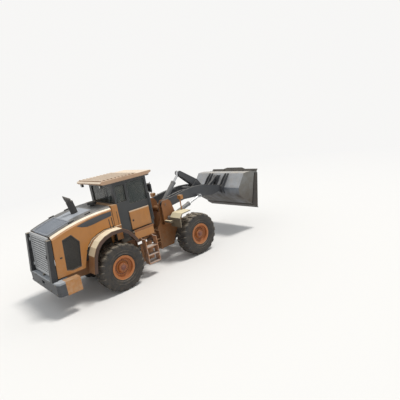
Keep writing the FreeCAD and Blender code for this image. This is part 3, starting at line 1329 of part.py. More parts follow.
shell = box("cab_outside", (S.cab_rear_x, S.cab_front_x), (-S.cab_half, S.cab_half), (S.cab_floor, S.cab_top))
room_limits = ((S.cab_rear_x + S.post, S.cab_front_x - S.post), (-S.cab_half + S.post, S.cab_half - S.post))
cab_room = box("cab_room", *room_limits, (S.cab_floor - 10, S.cab_top + 10))
front_pane = ((-640, 640), (1900, window_top))
rear_pane = ((-640, 640), (rear_sill, window_top - 20))
side_pane = ((-680, -20), (S.sill_z, window_top))
quarter_pane = ((-1110, -770), (rear_sill, window_top - 20))
pane_depth = S.post / 2
front_span = (S.cab_front_x - S.post - 10, S.cab_front_x + 10)
rear_span = (S.cab_rear_x - 10, S.cab_rear_x + S.post + 10)
left_span = (S.cab_half - S.post - 10, S.cab_half + 10)
right_span = (-S.cab_half - 10, -S.cab_half + S.post + 10)
openings = [
    box("front_opening", front_span, *front_pane),
    box("rear_opening", rear_span, *rear_pane),
    box("right_opening", side_pane[0], right_span, side_pane[1]),
    box("right_quarter_opening", quarter_pane[0], right_span, quarter_pane[1]),
    box("left_quarter_opening", quarter_pane[0], left_span, quarter_pane[1]),
    box("door_opening", (S.door_rear_x - S.door_gap, S.door_front_x + S.door_gap * 2), left_span, (S.cab_floor + 30, window_top + 16)),
]
cab_hinge = (S.door_rear_x - S.door_gap, S.cab_half + 15)
cab_lugs, cab_leaves, cab_bores = [], [], []
for z in (S.cab_floor + 250, window_top - 300):
    ring, bore = knuckle("cab_knuckle", "Z", cab_hinge, z - 40, z + 40)
    leaf = box("cab_leaf", (cab_hinge[0], S.door_rear_x + 60), (S.cab_half, S.cab_half + 10), (z - 40, z + 40))
    cab_leaves.append(fuse("cab_leaf_joined", [ring, leaf]))
    cab_bores.append(bore)
    cab_lugs.append(bar("cab_hinge_pin", "Z", S.hinge_pin, cab_hinge, z - 70, z + 70))
    for start in (z - 70, z + 45):
        cab_lugs.append(box("cab_lug", (cab_hinge[0] - 30, cab_hinge[0] + 6), (S.cab_half, S.cab_half + 24),
                            (start, start + 25)))
cab_shell = cut("cab_shell", shell, [cab_room] + openings)
sub_part("cab_frame", fuse("cab_frame_whole", [cab_shell] + cab_lugs))


def thin(middle):
    return (middle - S.glass_wall / 2, middle + S.glass_wall / 2)


panes = [
    box("front_glass", thin(S.cab_front_x - pane_depth), *front_pane),
    box("rear_glass", thin(S.cab_rear_x + pane_depth), *rear_pane),
    box("right_glass", side_pane[0], thin(-S.cab_half + pane_depth), side_pane[1]),
    box("right_quarter_glass", quarter_pane[0], thin(-S.cab_half + pane_depth), quarter_pane[1]),
    box("left_quarter_glass", quarter_pane[0], thin(S.cab_half - pane_depth), quarter_pane[1]),
]
sub_part("cab_windows", panes)

door_pane = ((S.door_rear_x + 70, S.door_front_x - 70), (S.sill_z - 300, window_top - 60))
door_body = box("cab_door_body", (S.door_rear_x, S.door_front_x), (S.cab_half - S.door_wall, S.cab_half),
                (S.cab_floor + 36, window_top + 10))
door_hole = box("cab_door_hole", door_pane[0], (S.cab_half - 100, S.cab_half + 10), door_pane[1])
door_slab = cut("cab_door_slab", door_body, [door_hole])
sub_part("cab_door", cut("cab_door_whole", fuse("cab_door_hung", [door_slab] + cab_leaves), cab_bores))
sub_part("cab_door_glass", box("cab_door_pane", door_pane[0], thin(S.cab_half - S.door_wall / 2), door_pane[1]))

roof_outline = (
    (S.cab_rear_x - 60, S.cab_top),
    (S.cab_front_x + 40, S.cab_top),
    (S.cab_front_x + 230, S.cab_top + 90),
    (S.cab_front_x + 225, S.cab_top + 140),
    (S.cab_front_x - 300, roof_top - S.roof_rib),
    (S.cab_rear_x - 330, roof_top - S.roof_rib),
    (S.cab_rear_x - 380, roof_top - S.roof_rib - 50),
    (S.cab_rear_x - 330, S.cab_top + 40),
)
roof_pieces = [padded("cab_roof_body", "XZ", roof_outline, -S.cab_half - 45, S.cab_half + 45)]
rib_count = 10
rib_pitch = (S.cab_front_x - S.cab_rear_x + 30) / rib_count
for number in range(rib_count):
    rib_x = S.cab_rear_x - 330 + rib_pitch * (number + 0.5)
    roof_pieces.append(box("roof_rib", (rib_x - 32, rib_x + 32), (-S.cab_half - 5, S.cab_half + 5),
                           (roof_top - S.roof_rib - 10, roof_top)))
sub_part("cab_roof", fuse("cab_roof_whole", roof_pieces))
side_panel = box("cab_side_panel", (S.door_rear_x - 90, S.door_front_x - 40), (-S.cab_half - 30, -S.cab_half),
                 (1640, 2250))
deck_panels = [
    box("deck_panel_" + side, (-800, -80), (low, low + 25), (S.deck_low + 10, S.cab_floor - 10))
    for side, low in (("left", S.cab_half + 100), ("right", -S.cab_half - 125))
]
sub_part("cab_panels", [side_panel] + deck_panels)

seat_pieces = [
    box("seat_base", (-700, -420), (-170, 170), (S.cab_floor, 1890)),
    box("seat_cushion", (-780, -290), (-260, 260), (1890, 2000)),
    box("seat_back", (-870, -770), (-240, 240), (1940, 2560)),
    box("seat_head", (-860, -790), (-150, 150), (2560, 2720)),
    box("armrest_left", (-760, -420), (262, 330), (2170, 2230)),
    box("armrest_right", (-760, -420), (-330, -262), (2170, 2230)),
    box("armrest_post_left", (-780, -740), (240, 300), (1960, 2230)),
    box("armrest_post_right", (-780, -740), (-300, -240), (1960, 2230)),
]
sub_part("operator_seat", fuse("seat_whole", seat_pieces))
wheel_ring = doc.addObject("Part::Torus", "wheel_ring")
wheel_ring.Radius1 = 190
wheel_ring.Radius2 = 14
wheel_pieces = [
    bar("wheel_shaft", "Z", 25, (0, 0), -240, 10),
    box("wheel_spoke", (-190, 190), (-22, 22), (-8, 8)),
    box("wheel_cross", (-22, 22), (-190, 190), (-8, 8)),
    wheel_ring,
]
console_pieces = [
    box("console_foot", (-160, -60), (-120, 120), (S.cab_floor, 2060)),
    box("console_head", (-170, -50), (-210, 210), (2060, 2280)),
    place(fuse("wheel_joined", wheel_pieces), -250, 0, 2310, turn=30),
]
sub_part("steering_console", fuse("console_whole", console_pieces))

# Access steps: by the door they hang from a side deck, on the other side from the platform itself.
step_low = 430
step_inner, step_outer = S.cab_half + 160, S.cab_half + 380
ladder = []
for x in (-640, -220):
    ladder.append(box("step_stringer", (x, x + 26), (step_inner, step_outer), (step_low, S.deck_low - 20)))
for z in (step_low, step_low + 270, step_low + 540):
    ladder.append(box("step_tread", (-640, -200), (step_inner, step_outer), (z, z + 30)))
deck_side = box("side_deck", (-820, -190), (S.cab_half + 125, S.fender_outer - 95), (S.cab_floor - 60, S.cab_floor))
step_pieces = list(ladder)
for x in (-640, -220):
    step_pieces.append(box("deck_stringer", (x, x + 26), (step_inner, step_outer),
                           (S.deck_low - 30, S.cab_floor - 50)))
left_steps = fuse("steps_left", step_pieces + [deck_side])
hangers_right = [box("step_hanger", (x, x + 26), (S.cab_half, step_inner + 10), (S.deck_low - 60, S.deck_low))
                 for x in (-640, -220)]
right_steps = mirrored(fuse("steps_right", ladder + hangers_right))
sub_part("access_steps", [left_steps, right_steps])
rail_r = S.rail_tube
rail_y = S.fender_outer - 130
rail_pieces = [
    bar("deck_rail_front", "Z", rail_r, (-800, rail_y), S.cab_floor, 2500 + rail_r),
    bar("deck_rail_top", "X", rail_r - 2, (rail_y, 2500), -1160, -800),
    bar("deck_rail_rear", "Z", rail_r, (-1160, rail_y), 1900, 2500 + rail_r),
]
grab = [
    bar("grab_bar", "Z", rail_r, (S.cab_front_x - 20, S.cab_half + 60), 1750, 2650),
    bar("grab_low", "Y", rail_r - 3, (S.cab_front_x - 20, 1770), S.cab_half, S.cab_half + 60),
    bar("grab_high", "Y", rail_r - 3, (S.cab_front_x - 20, 2630), S.cab_half, S.cab_half + 60),
]
rail_set = fuse("deck_rail", rail_pieces)
grab_set = fuse("grab_rail", grab)
sub_part("handrails", both(grab_set) + [rail_set])

doc.recompute()
faults = []
for item in doc.Objects:
    if "Invalid" in item.State or "Error" in item.State:
        faults.append("%s %s" % (item.Name, item.State))
for item in parts:
    if item.Shape.isNull() or not item.Shape.isValid() or not item.Shape.Solids:
        faults.append(item.Label + " has no valid shape")
if faults:
    raise RuntimeError("; ".join(faults))

os.makedirs("parts", exist_ok=True)
for item in parts:
    item.Shape.exportStep("parts/%s.step" % item.Label)
    print(item.Label, len(item.Shape.Solids), "solids", round(item.Shape.Volume / 1e6, 1), "litres")
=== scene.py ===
# Looks for an articulated wheel loader: finishes for every solid, and the pieces
# that are too fine for the solid model. Metres, X forward, Y to the left, Z up.
import json
import math

import bmesh
import bpy
from mathutils import Matrix, Vector

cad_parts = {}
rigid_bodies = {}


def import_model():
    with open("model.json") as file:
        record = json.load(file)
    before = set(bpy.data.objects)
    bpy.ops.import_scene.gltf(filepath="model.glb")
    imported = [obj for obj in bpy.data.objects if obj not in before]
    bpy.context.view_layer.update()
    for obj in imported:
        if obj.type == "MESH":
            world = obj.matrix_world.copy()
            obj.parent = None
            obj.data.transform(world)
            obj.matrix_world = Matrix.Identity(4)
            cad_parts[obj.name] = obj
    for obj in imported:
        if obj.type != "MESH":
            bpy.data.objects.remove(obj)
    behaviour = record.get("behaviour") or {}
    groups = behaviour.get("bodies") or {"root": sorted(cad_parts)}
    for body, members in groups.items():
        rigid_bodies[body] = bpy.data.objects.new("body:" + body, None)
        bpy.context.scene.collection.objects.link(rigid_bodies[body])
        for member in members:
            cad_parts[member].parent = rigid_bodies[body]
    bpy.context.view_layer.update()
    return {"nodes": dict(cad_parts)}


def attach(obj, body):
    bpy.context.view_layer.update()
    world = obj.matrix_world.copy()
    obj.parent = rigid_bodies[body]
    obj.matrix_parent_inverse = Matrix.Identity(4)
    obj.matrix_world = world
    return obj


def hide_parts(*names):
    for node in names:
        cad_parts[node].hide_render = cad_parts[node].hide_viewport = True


for item in list(bpy.data.objects):
    bpy.data.objects.remove(item)
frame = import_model()
scene = bpy.context.scene


def added(name, data):
    """New object in the scene."""
    made = bpy.data.objects.new(name, data)
    scene.collection.objects.link(made)
    return made


# Camera: where it stands, its own right and up, lens and sensor in millimetres
EYE = Vector((-7.057, -10.808, 4.668))
VIEW_RIGHT = Vector((0.7287, -0.6653, -0.1627))
VIEW_UP = Vector((0.2631, 0.0526, 0.9633))
LENS = 32.42
SENSOR = 36.0
FAR_LIMIT = 500
camera_data = bpy.data.cameras.new("camera")
camera_data.lens = LENS
camera_data.sensor_width = SENSOR
camera_data.clip_end = FAR_LIMIT
camera = added("camera", camera_data)
camera_turn = Matrix((VIEW_RIGHT, VIEW_UP, VIEW_RIGHT.cross(VIEW_UP))).transposed().to_4x4()
camera.matrix_world = Matrix.Translation(EYE) @ camera_turn
scene.camera = camera

# Sizes shared with the solid model
TYRE_RADIUS = 0.7465
TREAD_HALF = 1.025
AXLE_X = {"rear": -2.37, "front": 0.81}
SIDES = {"left": 1, "right": -1}

# Colours as 0-255 screen values
AMBER = (170, 111, 44)
BLACK = (30, 31, 34)
SUNLIT = (240, 226, 200)
DUST = (186, 172, 150)
PALE_DUST = (196, 194, 188)
MUD = (112, 92, 70)
RUST = (116, 78, 48)
PRIMER = (96, 84, 74)
GREY_PRIMER = (120, 108, 92)


# Finishes
def linear(colour):
    """Screen values turned to linear light."""
    return tuple((c / 255 / 12.92) if c <= 10 else ((c / 255 + 0.055) / 1.055) ** 2.4
                 for c in colour) + (1.0,)


def shade(colour, share, lift=0.0):
    """A linear colour made darker or lighter."""
    return tuple(min(1, c * share + lift) for c in colour[:3]) + (1.0,)


class Nodes:
    """Shader nodes of a material or of the world."""

    def __init__(self, owner):
        owner.use_nodes = True
        self.nodes = owner.node_tree.nodes
        self.links = owner.node_tree.links

    def node(self, kind, sockets=(), **settings):
        made = self.nodes.new("ShaderNode" + kind)
        for key, value in settings.items():
            setattr(made, key, value)
        for key, value in dict(sockets).items():
            self.feed(made.inputs[key], value)
        return made

    def feed(self, socket, value):
        if isinstance(value, bpy.types.NodeSocket):
            self.links.new(value, socket)
        else:
            socket.default_value = value

    def calc(self, operation, first, second=0.0):
        return self.node("Math", {0: first, 1: second}, operation=operation).outputs[0]

    def times(self, first, second):
        return self.calc("MULTIPLY", first, second)

    def most(self, first, second):
        return self.calc("MAXIMUM", first, second)


class Finish(Nodes):
    """A node material around one Principled shader, on Object coordinates."""

    def __init__(self, name, roughness=0.5, metallic=0.0):
        self.material = bpy.data.materials.new(name)
        super().__init__(self.material)
        self.shader = self.nodes["Principled BSDF"]
        self.shader.inputs["Roughness"].default_value = roughness
        self.shader.inputs["Metallic"].default_value = metallic
        self.place = self.node("TexCoord")

    def noise(self, scale, detail=3.0, rough=0.55, stretch=(1, 1, 1)):
        spread = self.node("Mapping", {"Vector": self.place.outputs["Object"]})
        spread.inputs["Scale"].default_value = stretch
        return self.node("TexNoise", {
            "Vector": spread.outputs["Vector"], "Scale": scale, "Detail": detail,
            "Roughness": rough}).outputs["Fac"]

    def ramp(self, value, low, high, out_low=0.0, out_high=1.0):
        return self.node("MapRange", {
            "Value": value, "From Min": low, "From Max": high, "To Min": out_low,
            "To Max": out_high}).outputs["Result"]

    def mix(self, share, first, second):
        made = self.node("Mix", data_type="RGBA")
        self.feed(made.inputs[0], share)
        self.feed(made.inputs[6], first)
        self.feed(made.inputs[7], second)
        return made.outputs[2]

    def waves(self, scale, direction):
        return self.node("TexWave", {
            "Vector": self.place.outputs["Object"], "Scale": scale},
            bands_direction=direction).outputs["Fac"]

    def part(self, output, letter):
        """One component of the object's coordinates or normal."""
        return self.node("SeparateXYZ", {0: self.place.outputs[output]}).outputs[letter]

    def facing_up(self, low=0.25, high=0.95):
        return self.ramp(self.part("Normal", "Z"), low, high)

    def height(self, low, high):
        return self.ramp(self.part("Object", "Z"), low, high)

    def beside(self):
        """Distance from the middle plane of the machine."""
        return self.calc("ABSOLUTE", self.part("Object", "Y"))

    def edges(self, radius):
        """One on the edges of the shape, none on its flats."""
        soft = self.node("Bevel", {"Radius": radius}, samples=4)
        flat = self.node("NewGeometry")
        turn = self.node("VectorMath", {0: soft.outputs[0], 1: flat.outputs["Normal"]},
                         operation="DOT_PRODUCT")
        return self.ramp(turn.outputs["Value"], 0.97, 0.80)

    def relief(self, height, distance, strength=0.6, below=None):
        made = self.node("Bump", {
            "Height": height, "Distance": distance, "Strength": strength})
        if below is not None:
            self.feed(made.inputs["Normal"], below)
        return made.outputs["Normal"]

    def done(self, colour, roughness=None, normal=None):
        self.feed(self.shader.inputs["Base Color"], colour)
        if roughness is not None:
            self.feed(self.shader.inputs["Roughness"], roughness)
        if normal is not None:
            self.feed(self.shader.inputs["Normal"], normal)
        return self.material


# Limits of the painted bands, of the painted shade in the roof's grooves and of the pale middle of the
# hood top. On a hood door the dark band and the pale line of painted sunlit highlight widen from rear
# to front.
DOOR_REAR, DOOR_FRONT = -4.15, -2.30
DARK_BAND_REAR, DARK_BAND_FRONT = 0.822, 0.872
HIGHLIGHT_LINE_REAR, HIGHLIGHT_LINE_FRONT = 0.882, 0.906
DOOR_TOP_HALF = 0.815
SHOULDER_SLOPE = 0.3
PALE_PANEL_HALF, PALE_PANEL_REAR, PALE_PANEL_FRONT = 0.44, -3.43, -2.66
RIBS_REAR, RIBS_FRONT, RIBS_HALF = -2.30, -1.00, 0.81
RIB_TOP, RIB_SHADE, RIM_TOP = 3.3985, 3.388, 3.375


def shoulder_band_and_highlight(f, base):
    """Dark band, and a pale line of painted sunlit highlight, along the slanted shoulder of a hood
    door.
    """
    across = f.beside()
    along_hood = f.part("Object", "X")
    band_edge = f.ramp(along_hood, DOOR_REAR, DOOR_FRONT, DARK_BAND_REAR, DARK_BAND_FRONT)
    highlight_edge = f.ramp(along_hood, DOOR_REAR, DOOR_FRONT, HIGHLIGHT_LINE_REAR, HIGHLIGHT_LINE_FRONT)
    on_shoulder = f.calc("GREATER_THAN", f.part("Normal", "Z"), SHOULDER_SLOPE)
    line = f.times(f.calc("LESS_THAN", across, highlight_edge), on_shoulder)
    band = f.times(f.calc("LESS_THAN", across, band_edge), on_shoulder)
    # The pale line is painted highlight: sunlight caught on the shoulder's lower edge.
    base = f.mix(line, base, linear(SUNLIT))
    return f.mix(f.most(band, f.calc("LESS_THAN", across, DOOR_TOP_HALF)), base, linear(BLACK))


def hood_bands(f, base):
    """Dark sides and a darker rear panel on the hood top; its pale blue-grey middle is partly dust,
    partly painted sky reflection.
    """
    side = f.ramp(f.beside(), PALE_PANEL_HALF, PALE_PANEL_HALF + 0.03)
    rear = f.ramp(f.part("Object", "X"), PALE_PANEL_REAR, PALE_PANEL_REAR - 0.02)
    front = f.ramp(f.part("Object", "X"), PALE_PANEL_FRONT, PALE_PANEL_FRONT + 0.06)
    base = f.mix(rear, base, linear((112, 121, 134)))
    return f.mix(f.most(side, front), base, linear(BLACK))


def dust_and_sunlit_top(f, base):
    """Thick pale dust, together with painted sunlit highlight, over the upper skin of a wheel arch."""
    return f.mix(f.ramp(f.part("Normal", "Z"), 0.25, 0.60, 0.0, 0.92), base, linear((236, 224, 188)))


def roof_groove_shade(f, base):
    """Painted shade: browner colour down in the grooves between the roof's ribs and on its upright rim.
    """
    # Upright faces of the rim and the groove floors get darker colour as painted shade.
    upright = f.ramp(f.part("Normal", "Z"), 0.5, 0.2, 0.0, 0.75)
    base = f.mix(f.times(upright, f.height(RIM_TOP, RIM_TOP - 0.01)), base, linear((146, 104, 70)))
    along_roof = f.part("Object", "X")
    ends = f.times(f.ramp(along_roof, RIBS_REAR, RIBS_REAR + 0.02),
                   f.ramp(along_roof, RIBS_FRONT, RIBS_FRONT - 0.03))
    within = f.times(ends, f.ramp(f.beside(), RIBS_HALF, RIBS_HALF - 0.01))
    return f.mix(f.times(f.height(RIB_TOP, RIB_SHADE), within), base, linear((150, 112, 82)))


def weight_edge_highlight(f, base):
    """Painted bluish sky highlight along the counterweight's upper edge."""
    return f.mix(f.times(f.height(0.965, 0.985), 0.6), base, linear((170, 176, 182)))


def panel_edge_dust_and_highlight(f, base):
    """Pale dust and painted sunlit highlight along the top edge of the cab's side panels."""
    return f.mix(f.times(f.height(2.20, 2.24), 0.5), base, linear(SUNLIT))


def dusty_paint(name, colour, gloss, dust, low_dirt, wear, under=PRIMER, dust_and_lit_top_colour=DUST,
                bands_and_painted_light=None, upward=(0.25, 0.95)):
    """Sprayed paint with sun fade, settled dust, splashes low down and rubbed edges; on some paints the
    bands and the pale cover on top faces are painted light.
    """
    f = Finish(name)
    colour = linear(colour)
    fade = f.ramp(f.noise(1.1, 2), 0.3, 0.7)
    base = f.mix(f.times(fade, 0.55), colour, shade(colour, 0.80, 0.03))
    streak = f.ramp(f.noise(5.5, 5, 0.65, (1, 1, 0.25)), 0.5, 0.78)
    grime = tuple(c * 0.45 + m * 0.15 for c, m in zip(colour[:3], linear(MUD))) + (1.0,)
    base = f.mix(f.times(streak, 0.38), base, grime)
    chips = f.ramp(f.times(f.edges(0.012), f.noise(26, 4, 0.7)), 0.28, 0.42)
    base = f.mix(f.times(chips, wear), base, linear(under))
    if bands_and_painted_light:
        base = bands_and_painted_light(f, base)
    patches = f.ramp(f.noise(3.2, 5, 0.6), 0.25, 0.75, 0.35, 1.0)
    # On the fenders, mudguards and counterweight this cover on top faces is partly painted highlight.
    settled = f.times(f.facing_up(*upward), patches)
    splash = f.times(f.height(1.7, 0.4), f.ramp(f.noise(9, 5, 0.7), 0.35, 0.7))
    cover = f.most(f.times(settled, dust), f.times(splash, low_dirt))
    film = f.times(f.ramp(f.noise(2.1, 4), 0.3, 0.8), 0.16 * dust)
    cover = f.most(cover, film)
    base = f.mix(cover, base, linear(dust_and_lit_top_colour))
    rough = f.ramp(cover, 0.0, 0.7, gloss, 0.92)
    peel = f.relief(f.noise(240, 2), 0.0006, 0.35)
    grit = f.relief(f.times(f.noise(60, 5, 0.8), cover), 0.003, 0.5, peel)
    return f.done(base, rough, grit)


def shaded_back_and_muddy_cheeks(f, base, cover, cheeks):
    """Shaded lower back of the bucket and mud on its outer cheeks."""
    shaded = f.times(f.height(1.95, 1.55),
                     f.ramp(f.noise(3, 5, 0.65, (1, 1, 0.4)), 0.2, 0.7, 0.5, 0.95))
    shaded = f.times(shaded, f.ramp(f.part("Normal", "X"), 0.2, -0.2))
    base = f.mix(shaded, base, linear((84, 76, 66)))
    cover = f.most(cover, f.times(shaded, 0.7))
    sideways = f.calc("ABSOLUTE", f.part("Normal", "Y"))
    outside = f.times(f.ramp(f.beside(), 1.29, 1.30), f.ramp(sideways, 0.6, 0.9))
    mud = f.mix(f.height(2.2, 1.1), linear((110, 107, 100)), linear((72, 63, 52)))
    patches = f.ramp(f.noise(4, 5, 0.6), 0.2, 0.6, cheeks * 0.75, cheeks)
    outside = f.times(outside, patches)
    return f.mix(outside, base, mud), f.most(cover, outside)


def bare_steel(name, colour, rough, rust, metallic, grain, dust, cheeks):
    """Scoured steel with a brushed grain, rust stains, dust on its top faces and, where it has cheeks,
    painted shade on its lower back and mud on its cheeks.
    """
    f = Finish(name, metallic=metallic)
    colour = linear(colour)
    tone = f.ramp(f.noise(2.3, 5, 0.62), 0.3, 0.72)
    base = f.mix(tone, shade(colour, 0.55), colour)
    scratch = f.ramp(f.noise(34, 6, 0.7, grain), 0.46, 0.62)
    base = f.mix(f.times(scratch, 0.35), base, shade(colour, 1.5))
    stain = f.ramp(f.noise(6.5, 6, 0.7), 0.52, 0.75)
    base = f.mix(f.times(stain, rust), base, linear(RUST))
    cover = f.times(f.facing_up(), f.ramp(f.noise(4, 5), 0.3, 0.7, 0.3, dust * 2))
    base = f.mix(cover, base, linear(DUST))
    if cheeks:
        base, cover = shaded_back_and_muddy_cheeks(f, base, cover, cheeks)
    rusty = f.most(cover, f.times(stain, rust))
    f.feed(f.shader.inputs["Metallic"], f.ramp(rusty, 0, 0.6, metallic, 0.05))
    dents = f.relief(f.noise(5, 4), 0.01, 0.25)
    normal = f.relief(f.noise(34, 6, 0.7, grain), 0.0012, 0.5, dents)
    return f.done(base, f.ramp(rusty, 0, 0.6, rough, 0.9), normal)


def dusty_rubber(name, colour, dust):
    """Rubber with dust pressed into it and lying on its top faces."""
    f = Finish(name)
    colour = linear(colour)
    base = f.mix(f.ramp(f.noise(3, 4), 0.3, 0.7), colour, shade(colour, 1.7))
    caked = f.ramp(f.noise(7, 6, 0.72), 0.38, 0.72)
    base = f.mix(f.times(caked, dust * 0.42), base, linear((116, 104, 88)))
    cover = f.times(f.facing_up(0.3, 1.0), f.ramp(f.noise(12, 4), 0.3, 0.6, 0.3, 0.6))
    base = f.mix(f.times(cover, dust), base, linear(DUST))
    dents = f.relief(f.noise(14, 4), 0.006, 0.3)
    normal = f.relief(f.noise(130, 4, 0.7), 0.0015, 0.5, dents)
    return f.done(base, f.ramp(caked, 0, 1, 0.62, 0.95), normal)


def moulded(name, colour, rough):
    """Moulded plastic with a fine leather grain and a film of dust."""
    f = Finish(name)
    colour = linear(colour)
    base = f.mix(f.ramp(f.noise(2, 3), 0.3, 0.7), colour, shade(colour, 1.35, 0.004))
    cover = f.times(f.facing_up(), f.ramp(f.noise(8, 5), 0.3, 0.7, 0.3, 1.0))
    base = f.mix(f.times(cover, 0.6), base, linear(DUST))
    return f.done(base, f.ramp(cover, 0, 1, rough, 0.9), f.relief(f.noise(320, 2), 0.0006, 0.5))


def tinted_glass(name, colour, alpha):
    """Dusty tinted pane: part see-through, with a light film of dust in patches."""
    f = Finish(name, roughness=0.06)
    film = f.ramp(f.noise(3.4, 5, 0.6), 0.45, 0.85)
    base = f.mix(f.times(film, 0.5), linear(colour), linear((140, 134, 120)))
    f.feed(f.shader.inputs["Alpha"], f.ramp(film, 0, 1, alpha, min(1.0, alpha + 0.22)))
    f.shader.inputs["IOR"].default_value = 1.5
    return f.done(base, f.ramp(film, 0, 1, 0.04, 0.35))


def lens_glass(name, colour):
    """Lamp lens with fine vertical prisms."""
    f = Finish(name, roughness=0.12)
    colour = linear(colour)
    cells = f.node("TexVoronoi", {
        "Vector": f.place.outputs["Object"], "Scale": 60.0}).outputs["Distance"]
    base = f.mix(f.ramp(cells, 0.0, 0.6), shade(colour, 1.3), colour)
    base = f.mix(f.times(f.ramp(f.noise(18, 4), 0.4, 0.7), 0.4), base, linear(DUST))
    return f.done(base, None, f.relief(f.waves(28.0, "Y"), 0.002, 0.4))


def woven(name, colour, threads):
    """Seat cloth: crossed threads with a soft sheen and faded patches."""
    f = Finish(name, roughness=0.9)
    colour = linear(colour)
    weave = f.times(f.waves(threads, "X"), f.waves(threads, "Y"))
    base = f.mix(f.ramp(f.noise(9, 5), 0.3, 0.7), colour, shade(colour, 1.6, 0.01))
    base = f.mix(f.times(weave, 0.5), base, shade(colour, 2.2, 0.01))
    f.shader.inputs["Sheen Weight"].default_value = 0.4
    return f.done(base, None, f.relief(weave, 0.0008, 0.6))


PAINTS = (
    # name, colour, roughness, settled dust, splashes, rubbed edges, and where they differ from
    # the usual: colour underneath, dust colour (on some paints partly painted highlight), bands (some
    # of them painted highlight and shade), slopes that hold dust
    ("amber_paint", AMBER, 0.36, 0.62, 0.55, 0.5),
    ("hood_door_paint", AMBER, 0.34, 0.30, 0.5, 0.35, PRIMER, DUST, shoulder_band_and_highlight),
    ("cab_panel_paint", AMBER, 0.36, 0.62, 0.55, 0.5, PRIMER, DUST, panel_edge_dust_and_highlight),
    ("frame_dusty_paint", (140, 88, 42), 0.5, 0.6, 0.7, 0.5, PRIMER, (140, 120, 96)),
    ("step_dusty_paint", (160, 100, 46), 0.6, 1.0, 0.7, 0.5, PRIMER, PALE_DUST),
    # Fender: its sunlit-coloured cover on the top faces is partly dust, partly painted highlight.
    ("fender_dusty_paint", (132, 88, 50), 0.45, 1.0, 0.2, 0.4, PRIMER, SUNLIT, dust_and_sunlit_top),
    ("rim_amber_paint", (168, 96, 40), 0.5, 0.3, 0.3, 0.35, PRIMER, (160, 128, 96)),
    ("rim_lip_paint", (196, 126, 66), 0.5, 0.4, 0.25, 0.35, PRIMER, (190, 160, 124)),
    ("hub_oxblood_paint", (104, 44, 32), 0.55, 0.3, 0.25, 0.4),
    ("charcoal_paint", (50, 53, 58), 0.42, 0.5, 0.5, 0.4, GREY_PRIMER, (150, 146, 140)),
    ("guard_black_paint", BLACK, 0.5, 0.25, 0.3, 0.4, (96, 90, 82)),
    ("undercarriage_paint", (58, 54, 50), 0.6, 0.75, 0.8, 0.3, GREY_PRIMER),
    # The hood top's pale blue-grey is partly dust, partly painted sky reflection.
    ("hood_slate_paint", (150, 159, 171), 0.30, 0.35, 0.2, 0.2, PRIMER, PALE_DUST, hood_bands),
    ("louvre_grey_paint", (120, 129, 142), 0.34, 0.3, 0.2, 0.2, PRIMER, PALE_DUST),
    # Counterweight: the pale bluish cover on its upper faces is partly dust, partly painted sky
    # highlight.
    ("counterweight_charcoal_paint", (30, 33, 39), 0.5, 0.8, 0.10, 0.3, PRIMER, (188, 192, 196),
     weight_edge_highlight, (0.15, 0.7)),
    ("cab_charcoal_paint", (34, 37, 40), 0.4, 0.25, 0.2, 0.2, (96, 94, 90), (140, 138, 132)),
    ("roof_tan_paint", (232, 212, 188), 0.55, 0.4, 0.1, 0.2, (236, 226, 208), (232, 218, 198),
     roof_groove_shade),
    # Mudguard: the dark base colour is painted shade of its sides; the cream top is dust and painted
    # sunlit highlight.
    ("mudguard_cream_paint", (88, 77, 62), 0.6, 1.0, 0.15, 0.25, PRIMER, (226, 212, 178), dust_and_sunlit_top),
    ("grille_grey_paint", (172, 174, 176), 0.42, 0.5, 0.35, 0.3, PRIMER, PALE_DUST),
    ("grille_screen_paint", (158, 160, 162), 0.5, 0.4, 0.35, 0.3, PRIMER, PALE_DUST),
    ("mesh_black_paint", (40, 42, 42), 0.5, 0.35, 0.2, 0.2),
    ("recess_black_paint", (24, 25, 25), 0.7, 0.2, 0.1, 0.1),
    ("cylinder_grey_paint", (112, 114, 117), 0.4, 0.4, 0.3, 0.3),
    ("engine_grime_paint", (60, 62, 66), 0.6, 0.7, 0.4, 0.3),
    ("stack_black_paint", (46, 46, 47), 0.62, 0.3, 0.0, 0.3, (112, 82, 62)),
)
STEELS = (
    # name, colour, roughness, rust, metallic, grain, dust, mud on the cheeks (any but zero also adds
    # painted shade on the lower back)
    ("bucket_steel", (172, 180, 190), 0.36, 0.22, 0.75, (1, 8, 1), 0.35, 0.95),
    ("edge_steel", (66, 63, 60), 0.55, 0.45, 0.5, (9, 1, 1), 0.1, 0.0),
    ("bolt_steel", (120, 118, 114), 0.45, 0.35, 0.85, (1, 1, 9), 0.35, 0.0),
    ("rod_chrome", (205, 207, 210), 0.12, 0.0, 1.0, (1, 1, 1), 0.06, 0.0),
)
OTHERS = (
    # kind, name, colour, then dust, roughness, least cover of a pane, or threads
    (dusty_rubber, "tyre_rubber", (30, 30, 31), 0.85),
    (dusty_rubber, "skirt_rubber", (62, 44, 36), 0.3),
    (dusty_rubber, "seal_rubber", (24, 24, 25), 0.25),
    (moulded, "lamp_black_plastic", (32, 33, 35), 0.45),
    (moulded, "console_black_plastic", (38, 39, 42), 0.6),
    (tinted_glass, "cab_tinted_glass", (40, 50, 48), 0.62),
    (lens_glass, "lamp_clear_lens", (210, 212, 208)),
    (lens_glass, "lamp_red_lens", (170, 26, 22)),
    (lens_glass, "lamp_orange_lens", (214, 110, 30)),
    (woven, "seat_grey_cloth", (52, 54, 60), 105),
)
finishes = {row[0]: dusty_paint(*row) for row in PAINTS}
finishes.update((row[0], bare_steel(*row)) for row in STEELS)
finishes.update((name, kind(name, *rest)) for kind, name, *rest in OTHERS)

